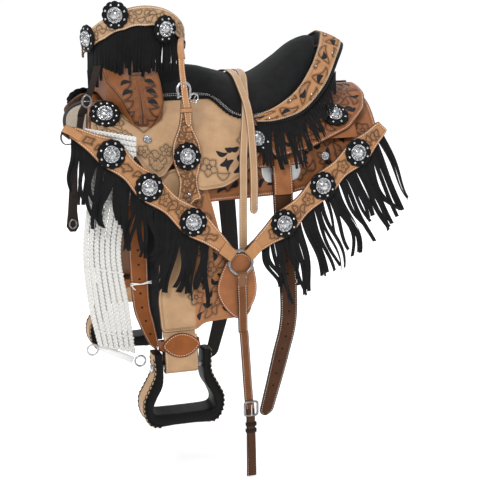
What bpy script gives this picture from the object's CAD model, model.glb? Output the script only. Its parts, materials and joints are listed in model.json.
import json
import math
from functools import partial

import bpy
import numpy as np
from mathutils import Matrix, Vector
from mathutils.geometry import delaunay_2d_cdt

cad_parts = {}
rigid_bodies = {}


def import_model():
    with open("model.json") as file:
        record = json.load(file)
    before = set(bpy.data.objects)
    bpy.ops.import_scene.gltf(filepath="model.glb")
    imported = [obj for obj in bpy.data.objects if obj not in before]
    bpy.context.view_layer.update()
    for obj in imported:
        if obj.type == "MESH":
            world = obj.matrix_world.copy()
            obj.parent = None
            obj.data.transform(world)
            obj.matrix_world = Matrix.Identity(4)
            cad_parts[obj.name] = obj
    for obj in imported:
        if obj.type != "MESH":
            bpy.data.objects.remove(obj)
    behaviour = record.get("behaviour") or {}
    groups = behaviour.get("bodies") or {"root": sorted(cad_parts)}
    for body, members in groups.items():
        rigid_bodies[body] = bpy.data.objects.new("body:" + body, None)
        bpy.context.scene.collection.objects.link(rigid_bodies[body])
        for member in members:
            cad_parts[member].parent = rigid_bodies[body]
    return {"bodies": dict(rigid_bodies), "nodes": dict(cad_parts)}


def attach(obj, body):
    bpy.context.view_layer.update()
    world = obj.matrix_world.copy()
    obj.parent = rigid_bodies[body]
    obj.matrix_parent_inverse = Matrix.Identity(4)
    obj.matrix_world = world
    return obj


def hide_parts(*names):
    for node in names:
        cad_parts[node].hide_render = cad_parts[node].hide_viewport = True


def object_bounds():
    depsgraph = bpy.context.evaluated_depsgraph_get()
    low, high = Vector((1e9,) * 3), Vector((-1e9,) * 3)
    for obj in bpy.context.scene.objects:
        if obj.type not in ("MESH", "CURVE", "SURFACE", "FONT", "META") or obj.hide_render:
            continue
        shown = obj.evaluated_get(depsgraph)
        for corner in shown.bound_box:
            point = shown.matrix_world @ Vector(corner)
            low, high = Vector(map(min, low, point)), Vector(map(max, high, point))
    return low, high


# Lengths are in millimetres here, in the CAD's frame, and turned into metres when a mesh is made.
MM = 0.001
ARCH_R = 180.0
BEND = math.radians(80.0)
FLIP_Y = np.array([1.0, -1.0, 1.0])
SIDES = (("left", False), ("right", True))
# How far above the arch's inner face each layer of the saddle lies.
SKIRT_OFF = 10.5
PLATE_OFF = 15.0
PATCH_OFF = 17.4
FENDER_OFF = 19.0
HANGING_OFF = 19.2
JOCKEY_OUT = 31.0
ROSETTE_OFF = 35.4
FRINGE_OFF = 50.0

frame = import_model()
cad_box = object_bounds()
STITCHES = {}


# ------------------------------------------------------------------ curves and outlines

def unit(rows):
    """Vectors scaled to length 1."""
    return rows / np.maximum(np.linalg.norm(rows, axis=-1, keepdims=True), 1e-9)


def turns(count):
    """Angles spaced evenly round a circle."""
    return np.linspace(0, 2 * math.pi, count, endpoint=False)


def run_of(points):
    """How far along a line each of its points lies."""
    return np.concatenate([[0.0], np.cumsum(np.linalg.norm(np.diff(points, axis=0), axis=1))])


def read_at(at, run, rows):
    """The rows of a line, read at places along its run."""
    return np.stack([np.interp(at, run, column) for column in rows.T], -1)


def share_of(t, rows):
    """The rows of a line, read at shares from 0 to 1 of its point count."""
    return read_at(t, np.linspace(0, 1, len(rows)), rows)


def resample(points, spacing, closed=False):
    """Points at an even spacing along a polyline."""
    pts = np.asarray(points, float)
    if closed:
        pts = np.vstack([pts, pts[:1]])
    run = run_of(pts)
    count = max(int(round(run[-1] / spacing)), 2)
    out = read_at(np.linspace(0.0, run[-1], count + 1), run, pts)
    return out[:-1] if closed else out


def curve(points, spacing, closed=False):
    """A smooth curve through the points, evenly sampled."""
    p = np.asarray(points, float)
    if closed:
        knots = np.vstack([p[-1:], p, p[:2]])
    else:
        knots = np.vstack([2 * p[0] - p[1], p, 2 * p[-1] - p[-2]])
    t = np.linspace(0, 1, 13)[:-1][:, None]
    out = [0.5 * (2 * b + (c - a) * t + (2 * a - 5 * b + 4 * c - d) * t ** 2
                  + (3 * b - a - 3 * c + d) * t ** 3)
           for a, b, c, d in zip(knots, knots[1:], knots[2:], knots[3:])]
    if not closed:
        out.append(p[-1:])
    return resample(np.vstack(out), spacing, closed)


def rounded(points, radius, spacing):
    """A closed outline with straight sides and rounded corners."""
    p = np.asarray(points, float)
    out = []
    for i, corner in enumerate(p):
        before = p[i - 1] - corner
        after = p[(i + 1) % len(p)] - corner
        lb, la = np.linalg.norm(before), np.linalg.norm(after)
        cut = min(radius, 0.45 * lb, 0.45 * la)
        a = corner + before / lb * cut
        b = corner + after / la * cut
        t = np.linspace(0, 1, 7)[:, None]
        out.append((1 - t) ** 2 * a + 2 * t * (1 - t) * corner + t ** 2 * b)
    return resample(np.vstack(out), spacing, True)


def edge_distance(pts, poly, closed=True):
    """Distance of each point to the nearest side of a polygon."""
    a = poly
    b = np.roll(poly, -1, axis=0)
    if not closed:
        a, b = poly[:-1], poly[1:]
    d = b - a
    length2 = np.maximum((d ** 2).sum(1), 1e-9)
    out = np.empty(len(pts))
    for i in range(0, len(pts), 4000):
        q = pts[i:i + 4000, None, :] - a[None]
        t = np.clip((q * d).sum(2) / length2, 0, 1)
        out[i:i + 4000] = np.sqrt(((q - t[..., None] * d) ** 2).sum(2).min(1))
    return out


def inside(pts, poly):
    """Which points lie inside a polygon."""
    x, y = pts[:, 0:1], pts[:, 1:2]
    ax, ay = poly[:, 0][None], poly[:, 1][None]
    bx, by = np.roll(poly[:, 0], -1)[None], np.roll(poly[:, 1], -1)[None]
    cross = ((ay > y) != (by > y)) & (x < (bx - ax) * (y - ay) / (by - ay + 1e-12) + ax)
    return cross.sum(1) % 2 == 1


def inset(poly, d, spacing):
    """Points of the line that runs d inside a closed outline, evenly spaced."""
    if signed_area(poly) < 0:
        poly = poly[::-1]
    tangent = unit(np.roll(poly, -1, axis=0) - np.roll(poly, 1, axis=0))
    moved = poly + np.stack([-tangent[:, 1], tangent[:, 0]], 1) * d
    keep = edge_distance(moved, poly) > d * 0.93
    return resample(moved[keep], spacing, True)


def signed_area(poly):
    """The area inside an outline, negative when it runs clockwise."""
    x, y = poly[:, 0], poly[:, 1]
    return 0.5 * float((x * np.roll(y, -1) - np.roll(x, -1) * y).sum())


# ------------------------------------------------------------------ surfaces that pieces lie on

def arch_map(off):
    """(x, s) on the near side of the arch: s runs down from the top along the layer."""
    r = ARCH_R + off
    bend = r * BEND

    def place(x, s, h):
        turn = np.clip(s, -bend, bend) / r
        over = np.maximum(s - bend, 0.0)
        y = -(r + h) * np.sin(turn) - over * math.cos(BEND)
        z = -ARCH_R + (r + h) * np.cos(turn) - over * math.sin(BEND)
        return np.stack([x + 0 * s, y, z], -1)

    return place


def down(off, z):
    """The arch's s for a height z on that layer."""
    r = ARCH_R + off
    z = np.asarray(z, float)
    bend_z = -ARCH_R + r * math.cos(BEND)
    on_arc = r * np.arccos(np.clip((z + ARCH_R) / r, -1, 1))
    on_flank = r * BEND + (bend_z - z) / math.sin(BEND)
    return np.where(z > bend_z, on_arc, on_flank)


def mirrored(place):
    """The same surface on the off side."""
    return lambda u, v, h: place(u, v, h) * FLIP_Y


def side_outline(points, off):
    """An outline of (x, z) points, unrolled on to a layer as (x, s)."""
    p = np.asarray(points, float)
    return np.stack([p[:, 0], down(off, p[:, 1])], 1)


def plane_map(origin, along, normal):
    """(u, v) on a plane, with v up."""
    origin, along, normal = (np.asarray(a, float) for a in (origin, along, normal))
    normal = normal / np.linalg.norm(normal)
    along = along - normal * along.dot(normal)
    along /= np.linalg.norm(along)
    up = np.cross(normal, along)

    def place(u, v, h):
        u, v, h = (np.asarray(a, float)[..., None] for a in (u, v, h + 0 * u))
        return origin + along * u + up * v + normal * h

    return place


def points_on(place, points):
    """A list of (u, v, h) points on a surface as rows of 3-D points."""
    return place(*np.array(points, float).T)


# ------------------------------------------------------------------ meshes

def put(name, body, verts, faces, material, attrs=None, nodes=(), slot=None, smooth=True, flip=False):
    """Makes a mesh object from millimetres, rides it on a body and replaces CAD nodes."""
    if flip:
        verts = verts * FLIP_Y
        faces = [tuple(reversed(f)) for f in faces]
    mesh = bpy.data.meshes.new(name)
    mesh.from_pydata((np.asarray(verts) * MM).tolist(), [], [tuple(int(i) for i in f) for f in faces])
    for key, values in (attrs or {}).items():
        layer = mesh.attributes.new(key, "FLOAT", "POINT")
        layer.data.foreach_set("value", np.asarray(values, np.float32))
    mesh.polygons.foreach_set("use_smooth", [smooth] * len(mesh.polygons))
    mesh.materials.append(material)
    mesh.validate()
    mesh.update()
    obj = bpy.data.objects.new(name, mesh)
    bpy.context.scene.collection.objects.link(obj)
    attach(obj, body)
    if nodes:
        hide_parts(*nodes)
    return obj


def grid_faces(rows, cols, closed_cols=False, closed_rows=False):
    """Quads of a grid of points, row by row."""
    faces = []
    for i in range(rows if closed_rows else rows - 1):
        row, after = i * cols, (i + 1) % rows * cols
        for j in range(cols if closed_cols else cols - 1):
            beside = (j + 1) % cols
            faces.append((row + j, row + beside, after + beside, after + j))
    return faces


def loft_faces(rows, cols):
    """Faces of a skin of closed sections, row by row, with both ends filled."""
    last = (rows - 1) * cols
    ends = [tuple(reversed(range(cols))), tuple(range(last, last + cols))]
    return grid_faces(rows, cols, closed_cols=True) + ends


def join(parts):
    """Several (verts, faces) lists as one."""
    verts, faces, start = [], [], 0
    for v, f in parts:
        verts.append(np.asarray(v, float))
        faces += [tuple(i + start for i in face) for face in f]
        start += len(v)
    return np.vstack(verts), faces


def put_parts(name, body, parts, material, **more):
    """Makes one mesh object from several (verts, faces) lists."""
    return put(name, body, *join(parts), material, **more)


# The distance that stands for "no pattern near here".
FAR = -6.0


def triangulate(rim, step, spare=()):
    """A filled outline with a hexagonal grid of points inside it: (points, faces)."""
    low, high = rim.min(0), rim.max(0)
    xs = np.arange(low[0], high[0], step)
    ys = np.arange(low[1], high[1], step * 0.87)
    gx, gy = np.meshgrid(xs, ys)
    gx = gx + (np.arange(len(ys)) % 2)[:, None] * step * 0.5
    pts = np.stack([gx.ravel(), gy.ravel()], 1)
    pts = pts[inside(pts, rim)]
    if len(pts):
        pts = pts[edge_distance(pts, rim) > step * 0.55]
    extra = [np.asarray(s) for s in spare if len(s)]
    every = np.vstack([rim, *extra, pts]) if len(pts) or extra else rim
    coords = [Vector((float(x), float(y))) for x, y in every]
    loop = list(range(len(rim)))
    out = delaunay_2d_cdt(coords, [], [loop], 1, 1e-4, True)
    verts = np.array([(v.x, v.y) for v in out[0]])
    faces = [tuple(f) for f in out[2]]
    kept = inside(np.array([verts[list(f)].mean(0) for f in faces]), rim)
    return verts, [f for f, k in zip(faces, kept) if k]


def field(pts, polys):
    """Signed distance to the nearest of several polygons, positive inside, never below FAR."""
    out = np.full(len(pts), FAR)
    for poly in polys:
        low, high = poly.min(0) + FAR, poly.max(0) - FAR
        near = np.where(((pts >= low) & (pts <= high)).all(1))[0]
        if not len(near):
            continue
        d = edge_distance(pts[near], poly)
        d = np.where(inside(pts[near], poly), d, -d)
        out[near] = np.maximum(out[near], d)
    return out


def tooled_height(motif, inlay):
    """How far raised motifs stand up and cut-outs sink, from their distance fields."""
    return 0.9 * np.clip(motif / 2.5, 0, 1), 0.7 * np.clip(inlay / 0.8 + 0.5, 0, 1)


def panel(name, body, rim, place, thick, material, nodes=(), slot=None, step=2.6, roll=1.4,
          motifs=(), inlays=(), stamp=None, swell=None, pair=False, stitch=()):
    """A sheet of leather on a surface: rolled edge, raised motifs, cut-out inlays, stitch rows."""
    rim = np.asarray(rim, float)
    if signed_area(rim) < 0:
        rim = rim[::-1]
    pts, faces = triangulate(rim, step, [inset(rim, roll * 0.35, step), inset(rim, roll, step)])
    d = edge_distance(pts, rim)
    up = 1.0 - np.sqrt(np.maximum(1.0 - (1.0 - np.minimum(d / roll, 1.0)) ** 2, 0.0))
    motif, inlay = field(pts, motifs), field(pts, inlays)
    raised, sunk = tooled_height(motif, inlay)
    h = thick - roll * 0.85 * up
    h = h + raised * (d > roll) - sunk
    if swell is not None:
        h = h + swell(pts, d)
    top = place(pts[:, 0], pts[:, 1], h)
    low_pts, low_faces = triangulate(rim, step * 4)
    low = place(low_pts[:, 0], low_pts[:, 1], np.zeros(len(low_pts)))
    first, second, third = top[list(faces[0][:3])]
    out = points_on(place, [(*pts[0], 1.0)]) - points_on(place, [(*pts[0], 0.0)])
    outward = float(np.cross(second - first, third - first).dot(out[0])) > 0
    base = len(top)
    walls = [(i, (i + 1) % len(rim), base + (i + 1) % len(rim), base + i) for i in range(len(rim))]
    all_faces = [f if outward else f[::-1] for f in faces]
    all_faces += [tuple(i + base for i in (f[::-1] if outward else f)) for f in low_faces]
    all_faces += [wall[::-1] if outward else wall for wall in walls]
    pad = np.zeros(len(low))
    attrs = {"edge": np.concatenate([d, pad]), "motif": np.concatenate([motif, pad + FAR]),
             "inlay": np.concatenate([inlay, pad + FAR])}
    if stamp is not None:
        attrs["stamp"] = np.concatenate([stamp(pts), pad])
    for side, flip in (SIDES if pair else (("", False),)):
        suffix = f"_{side}" if side else ""
        rides = f"{body}{suffix}" if f"{body}{suffix}" in frame["bodies"] else body
        put(name + suffix, rides, np.vstack([top, low]), all_faces, material, attrs,
            [f"{n}{suffix}" for n in nodes], slot, flip=flip)
        for gap in stitch:
            stitch_ring(rides, rim, place, gap, thick + 0.1, flip)


# ------------------------------------------------------------------ stitches

# Half the length, half the width and the height of one stitch.
STITCH = np.array([1.45, 0.6, 0.45])
# One stitch: a hexagon below and a smaller rectangle above, and the faces between them.
STITCH_POINTS = np.array([(1, 0, 0.1), (0.5, 0.9, 0.1), (-0.5, 0.9, 0.1), (-1, 0, 0.1), (-0.5, -0.9, 0.1),
                          (0.5, -0.9, 0.1), (0.45, 0.35, 1), (-0.45, 0.35, 1), (-0.45, -0.35, 1),
                          (0.45, -0.35, 1)])
STITCH_FACES = [(6, 7, 8, 9), (0, 1, 6), (1, 2, 7, 6), (2, 3, 7), (3, 4, 8), (4, 5, 9, 8), (5, 0, 9),
                (0, 6, 9), (3, 8, 7), (5, 4, 3, 2, 1, 0)]


def tangents(line, closed=False):
    """Unit directions along a line of points."""
    if closed:
        return unit(np.roll(line, -1, axis=0) - np.roll(line, 1, axis=0))
    return unit(np.gradient(line, axis=0))


def stitch_run(body, points, normals, flip=False, pitch=5.0, closed=False):
    """Notes a row of single stitches along a 3-D line."""
    pts = resample(np.hstack([points, normals]), pitch, closed)
    pos, nor = pts[:, :3], unit(pts[:, 3:])
    tangent = tangents(pos, closed)
    if flip:
        pos, tangent, nor = pos * FLIP_Y, tangent * FLIP_Y, nor * FLIP_Y
    STITCHES.setdefault(body, []).append((pos, tangent, nor))


def stitch_ring(body, rim, place, gap, height, flip):
    """Notes a row of stitches that follows an outline, a gap inside it."""
    row = inset(np.asarray(rim, float), gap, 2.0)
    pos = place(row[:, 0], row[:, 1], np.full(len(row), height))
    above = place(row[:, 0], row[:, 1], np.full(len(row), height + 1.0))
    stitch_run(body, pos, above - pos, flip, closed=True)


def build_stitches(material):
    """One mesh of little thread loops for each body."""
    long, wide, high = (STITCH_POINTS * STITCH).T[:, :, None]
    for body, runs in STITCHES.items():
        parts = []
        for pos, tangent, nor in runs:
            for p, t, a, n in zip(pos, tangent, np.cross(nor, tangent), nor):
                parts.append((p + long * t + wide * a + high * n, STITCH_FACES))
        put_parts(f"stitches_{body}", body, parts, material, slot="cotton")


# ------------------------------------------------------------------ straps

# A strap's cross section, from edge to edge over the top: share of the half width, share of the thickness.
STRAP_SECTION = [(-1, 0.25), (-0.98, 0.75), (-0.9, 1), (-0.6, 1.1), (-0.2, 1.15), (0.2, 1.15), (0.6, 1.1),
                 (0.9, 1), (0.98, 0.75), (1, 0.25), (0.85, 0), (-0.85, 0)]


def strap_mesh(path, across, width, thick, crown=0.5):
    """Cross sections of a strap: flat below, crowned above, with rolled edges."""
    path = np.asarray(path, float)
    across = unit(np.asarray(across, float))
    normal = unit(np.cross(across, tangents(path)))
    width = np.broadcast_to(width, (len(path),)).astype(float)
    rows = []
    edge = []
    for side, up in STRAP_SECTION:
        lift = up if up <= 1 else 1 + (up - 1) * crown
        rows.append(path + across * (side * width / 2)[:, None] + normal * (thick * lift))
        edge.append((1 - abs(side)) * width / 2 if up > 0.5 else 0 * width)
    faces = [f[::-1] for f in loft_faces(len(path), len(STRAP_SECTION))]
    return np.stack(rows, 1).reshape(-1, 3), faces, np.stack(edge, 1).reshape(-1), normal


def plain_attrs(edge):
    """The mesh values of leather that has an edge but no tooling."""
    return {"edge": edge, "motif": np.full(len(edge), FAR), "inlay": np.full(len(edge), FAR)}


def strap(name, body, points, across, width, thick, material, nodes=(), slot="strap_leather",
          tips=("flat", "flat"), stitch=(), holes=(), flip=False, spacing=4.0):
    """A leather strap along a smooth path, with shaped ends, stitch rows and punched holes."""
    knots = np.hstack([np.asarray(points, float), np.broadcast_to(across, (len(points), 3)),
                       np.broadcast_to(np.asarray(width, float), (len(points),))[:, None]])
    line = curve(knots, spacing)
    fine = np.linspace(0, 1, 6)[1:-1][:, None]
    head = line[0] + (line[1] - line[0]) * fine
    tail = line[-2] + (line[-1] - line[-2]) * fine
    line = np.vstack([line[:1], head, line[1:-1], tail, line[-1:]])
    path, side, wide = line[:, :3], line[:, 3:6], line[:, 6]
    run = run_of(path)
    shaped = wide.copy()
    for tip, gap in ((tips[0], run), (tips[1], run[-1] - run)):
        half = wide / 2
        if tip == "round":
            part = np.clip(gap / half, 0, 1)
            shaped = np.minimum(shaped, wide * np.maximum(np.sqrt(1 - (1 - part) ** 2), 0.12))
        if tip == "point":
            shaped = np.minimum(shaped, wide * np.clip(0.12 + gap / (1.5 * half + 1e-6), 0, 1))
    verts, faces, edge, normal = strap_mesh(path, side, shaped, thick)
    put(name, body, verts, faces, material, plain_attrs(edge), nodes, slot, flip=flip)
    side = unit(side)
    for gap in stitch:
        keep = (shaped > 2 * gap + 2) & (run > gap) & (run < run[-1] - gap)
        for sign in (-1, 1):
            row = path + side * (sign * (shaped / 2 - gap))[:, None] + normal * (thick + 0.1)
            if keep.sum() > 3:
                stitch_run(body, row[keep], normal[keep], flip)
    if len(holes):
        at = np.array(holes) * run[-1]
        parts = [disc(p + n * (thick * 1.02 + 0.12), n, 2.4, 0.25)
                 for p, n in zip(read_at(at, run, path), read_at(at, run, normal))]
        put_parts(f"{name}_holes", body, parts, MATERIALS["hole"], slot=slot, flip=flip)


def frame_of(normal):
    """Two directions across a normal, and the unit normal."""
    n = unit(np.asarray(normal, float))
    a = unit(np.cross(n, [0, 0, 1.0]) if abs(n[2]) < 0.9 else np.cross(n, [1.0, 0, 0]))
    return a, np.cross(n, a), n


def round_spots(centre, normal, radius, count, offset=0.0):
    """Points evenly round a centre, starting a share of one step round."""
    a, b, _ = frame_of(normal)
    t = 2 * math.pi * (np.arange(count) + offset) / count
    return centre + (np.cos(t)[:, None] * a + np.sin(t)[:, None] * b) * radius


def lathe(centre, normal, profile, segments=32, lobes=0.0):
    """A turned piece: profile of (radius, height) from the rim to the middle, with six pairs of lobes."""
    a, b, n = frame_of(normal)
    turn = turns(segments)
    wave = 1 + lobes * (np.abs(np.cos(6 * turn)) ** 0.7 - 0.6)
    verts = []
    for radius, height in profile:
        r = radius * wave
        verts.append(np.asarray(centre) + (r * np.cos(turn))[:, None] * a + (r * np.sin(turn))[:, None] * b
                     + n * height)
    return np.vstack(verts), loft_faces(len(profile), segments)


def disc(centre, normal, radius, height):
    """A small flat disc with a bevelled rim."""
    return lathe(centre, normal, [(radius, 0), (radius, height * 0.6), (radius * 0.8, height)], 10)


def ball(centre, normal, radius, height):
    """A low dome."""
    rise = [(math.cos(t), math.sin(t)) for t in np.linspace(0, math.pi / 2 * 0.92, 5)]
    return lathe(centre, normal, [(radius * c, height * s) for c, s in rise], 12)


def gem(centre, normal, radius, height):
    """A cut crystal: a girdle, a bevel and a flat table."""
    return lathe(centre, normal, [(radius, 0), (radius, height * 0.35), (radius * 0.62, height)], 8)


def tube(points, radius, sides=10, closed=False):
    """A round wire along a line of points."""
    p = np.asarray(points, float)
    tangent = tangents(p, closed)
    side = np.cross(tangent[0], [0.3, 0.5, 0.8])
    rows = []
    radius = np.broadcast_to(radius, (len(p),))
    turn = turns(sides)[:, None]
    for centre, t, r in zip(p, tangent, radius):
        side = side - t * side.dot(t)
        side /= np.linalg.norm(side)
        rows.append(centre + r * (np.cos(turn) * side + np.sin(turn) * np.cross(t, side)))
    if closed:
        faces = grid_faces(len(p), sides, closed_cols=True, closed_rows=True)
    else:
        faces = loft_faces(len(p), sides)
    return np.vstack(rows), faces


# ------------------------------------------------------------------ materials

def node_tree(name, **inputs):
    """A new material, its node tree and its shader with some inputs set."""
    mat = bpy.data.materials.new(name)
    mat.use_nodes = True
    shader = mat.node_tree.nodes["Principled BSDF"]
    for key, value in inputs.items():
        shader.inputs[key.replace("_", " ")].default_value = value
    return mat, mat.node_tree, shader


def link(tree, a, b):
    """Joins an output to an input."""
    tree.links.new(a, b)


def math_node(tree, op, a, b=None, c=None, clamp=False):
    """One sum on values or sockets."""
    node = tree.nodes.new("ShaderNodeMath")
    node.operation = op
    node.use_clamp = clamp
    for socket, value in zip(node.inputs, (a, b, c)):
        if value is None:
            continue
        if isinstance(value, (int, float)):
            socket.default_value = value
        else:
            link(tree, value, socket)
    return node.outputs[0]


def mix_colour(tree, factor, a, b):
    """Colour a where the factor is 0 and b where it is 1."""
    node = tree.nodes.new("ShaderNodeMix")
    node.data_type = "RGBA"
    for socket, value in ((node.inputs[0], factor), (node.inputs[6], a), (node.inputs[7], b)):
        if isinstance(value, (int, float)):
            socket.default_value = value
        elif isinstance(value, tuple):
            socket.default_value = (*value, 1.0)
        else:
            link(tree, value, socket)
    return node.outputs[2]


def texture(tree, kind, output, **inputs):
    """A texture node in the object's own coordinates, with some inputs set."""
    coord = tree.nodes.new("ShaderNodeTexCoord")
    node = tree.nodes.new(kind)
    for key, value in inputs.items():
        node.inputs[key].default_value = value
    link(tree, coord.outputs["Object"], node.inputs["Vector"])
    return node.outputs[output]


def noise(tree, scale, detail=4.0, rough=0.55, distortion=0.0):
    """Soft random patches, 0 to 1."""
    return texture(tree, "ShaderNodeTexNoise", "Fac", Scale=scale, Detail=detail, Roughness=rough,
                   Distortion=distortion)


def cells(tree, scale):
    """Distance to the middle of the nearest of many random cells."""
    return texture(tree, "ShaderNodeTexVoronoi", "Distance", Scale=scale)


def attribute(tree, name):
    """A value stored on the mesh's points."""
    node = tree.nodes.new("ShaderNodeAttribute")
    node.attribute_name = name
    return node.outputs["Fac"]


def line_at(tree, value, at, width):
    """1 on a line where value equals at, fading to 0 at width."""
    op = partial(math_node, tree)
    gap = op("ABSOLUTE", op("SUBTRACT", value, at))
    return op("SUBTRACT", 1.0, op("DIVIDE", gap, width), clamp=True)


def bump(tree, shader, height, strength, distance):
    """Lets a height bend the shader's normal."""
    node = tree.nodes.new("ShaderNodeBump")
    node.inputs["Strength"].default_value = strength
    node.inputs["Distance"].default_value = distance
    link(tree, height, node.inputs["Height"])
    link(tree, node.outputs["Normal"], shader.inputs["Normal"])


def leather(name, base, dark, rough=0.48, lines=(), tooled=False, edge=None,
            edge_colour=(0.012, 0.010, 0.009), coat=0.04, bare=False, zone=None, depth=0.6, gloss=0.26):
    """Tanned leather: mottled colour, pebbled grain, burnished edge, cut lines and tooling."""
    mat, tree, shader = node_tree(name, Specular_IOR_Level=gloss, Coat_Weight=coat, Coat_Roughness=0.35)
    op, blend = partial(math_node, tree), partial(mix_colour, tree)
    mottle = noise(tree, 38.0, 5.0, 0.6)
    fine = noise(tree, 260.0, 3.0, 0.6)
    pores = cells(tree, 520.0)
    light = tuple(min(c * 1.22, 1.0) for c in base)
    colour = blend(op("MULTIPLY_ADD", mottle, 2.4, -0.7, clamp=True), dark, light)
    colour = blend(0.55, colour, base)
    colour = blend(op("MULTIPLY", fine, 0.35), colour, dark)
    height = op("MULTIPLY_ADD", pores, 0.12, op("MULTIPLY", fine, 0.25))
    if not bare:
        rim = attribute(tree, "edge")
        for at in lines:
            groove = line_at(tree, rim, at, 0.75)
            colour = blend(op("MULTIPLY", groove, 0.75), colour, tuple(c * 0.28 for c in dark))
            height = op("SUBTRACT", height, op("MULTIPLY", groove, 0.9))
        if edge:
            burnt = op("SUBTRACT", 1.0, op("DIVIDE", rim, edge), clamp=True)
            burnt = op("MULTIPLY", burnt, 1.6, clamp=True)
            colour = blend(burnt, colour, edge_colour)
    if zone:
        where = attribute(tree, "stamp")
        ragged = op("MULTIPLY_ADD", mottle, 0.5, 0.55, clamp=True)
        colour = blend(op("MULTIPLY", where, ragged), colour, zone)
    if tooled:
        motif = attribute(tree, "motif")
        outline = line_at(tree, motif, -0.6, 2.0)
        vein = line_at(tree, motif, 2.7, 0.7)
        near = op("MULTIPLY_ADD", motif, 0.26, 1.5, clamp=True)
        ground = op("MULTIPLY", op("MULTIPLY", motif, -0.8, clamp=True), near)
        beads = cells(tree, 560.0)
        swirl = noise(tree, 95.0, 2.0, 0.5, 2.2)
        rings = op("ABSOLUTE", op("SINE", op("MULTIPLY", swirl, 42.0)))
        cut = op("SUBTRACT", 1.0, op("MULTIPLY", rings, 3.2), clamp=True)
        cut = op("MULTIPLY", cut, op("MULTIPLY_ADD", motif, 0.22, 1.3, clamp=True))
        shade = op("MAXIMUM", outline, op("MULTIPLY", vein, 0.6))
        shade = op("MAXIMUM", shade, op("MULTIPLY", cut, 0.6))
        shade = op("MAXIMUM", shade, op("MULTIPLY", ground, depth))
        colour = blend(op("MULTIPLY", shade, 0.95), colour, tuple(c * 0.12 for c in dark))
        height = op("SUBTRACT", height, op("MULTIPLY", shade, 1.1))
        height = op("MULTIPLY_ADD", op("MULTIPLY", ground, beads), 0.5, height)
    if not bare:
        black = attribute(tree, "inlay")
        mask = op("MULTIPLY_ADD", black, 1.8, 0.5, clamp=True)
        colour = blend(mask, colour, (0.010, 0.010, 0.012))
        lip = line_at(tree, black, -0.6, 0.9)
        height = op("MULTIPLY_ADD", lip, 0.5, height)
        shader_rough = op("MULTIPLY_ADD", mask, 0.3, rough)
        link(tree, op("MULTIPLY_ADD", fine, 0.15, shader_rough), shader.inputs["Roughness"])
    else:
        link(tree, op("MULTIPLY_ADD", fine, 0.2, rough - 0.05), shader.inputs["Roughness"])
    link(tree, colour, shader.inputs["Base Color"])
    bump(tree, shader, height, 0.55, 0.0008)
    return mat


def suede(name, base, nap=900.0):
    """Napped hide or webbing: soft patches and fine hair."""
    mat, tree, shader = node_tree(name, Roughness=0.9, Sheen_Weight=0.05, Sheen_Roughness=0.45,
                                  Specular_IOR_Level=0.12)
    op, blend = partial(math_node, tree), partial(mix_colour, tree)
    soft = noise(tree, 55.0, 4.0, 0.6)
    hair = noise(tree, nap, 3.0, 0.7)
    light = tuple(c * 2.4 + 0.002 for c in base)
    colour = blend(op("MULTIPLY_ADD", soft, 1.6, -0.4, clamp=True), base, light)
    colour = blend(op("MULTIPLY", hair, 0.4), colour, tuple(c * 3.0 for c in base))
    link(tree, colour, shader.inputs["Base Color"])
    bump(tree, shader, hair, 0.5, 0.0006)
    return mat


def metal(name, colour, rough, antique, facets=0.0):
    """Metal with fine scratches and dark antiquing, or with the facets of cut stones."""
    mat, tree, shader = node_tree(name, Metallic=1.0)
    op, blend = partial(math_node, tree), partial(mix_colour, tree)
    scratch = noise(tree, 420.0, 3.0, 0.6)
    tarnish = noise(tree, 150.0, 4.0, 0.7)
    shade = op("MULTIPLY_ADD", tarnish, 2.2, -0.75, clamp=True)
    dull = tuple(c * (1 - antique) for c in colour)
    link(tree, blend(shade, dull, colour), shader.inputs["Base Color"])
    link(tree, op("MULTIPLY_ADD", scratch, 0.2, rough), shader.inputs["Roughness"])
    if facets:
        bump(tree, shader, cells(tree, facets), 0.6, 0.0006)
    else:
        bump(tree, shader, scratch, 0.15, 0.0003)
    return mat


def cotton(name, base):
    """Spun fibre, a little soiled."""
    mat, tree, shader = node_tree(name, Roughness=0.85, Sheen_Weight=0.2)
    op, blend = partial(math_node, tree), partial(mix_colour, tree)
    fibre = noise(tree, 700.0, 4.0, 0.7)
    soil = noise(tree, 30.0, 3.0, 0.5)
    colour = blend(op("MULTIPLY", soil, 0.35), base, tuple(c * 0.78 for c in base))
    colour = blend(op("MULTIPLY", fibre, 0.25), colour, tuple(c * 0.7 for c in base))
    link(tree, colour, shader.inputs["Base Color"])
    bump(tree, shader, fibre, 0.6, 0.0006)
    return mat


TAN = (0.44, 0.275, 0.150)
TAN_DARK = (0.27, 0.150, 0.070)
GOLD = (0.42, 0.205, 0.085)
GOLD_DARK = (0.22, 0.092, 0.034)
BROWN = (0.30, 0.108, 0.034)
BROWN_DARK = (0.125, 0.042, 0.015)
OILED = (0.24, 0.074, 0.016)
OILED_DARK = (0.11, 0.030, 0.008)
INKED = (0.03, 0.015, 0.01)

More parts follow.
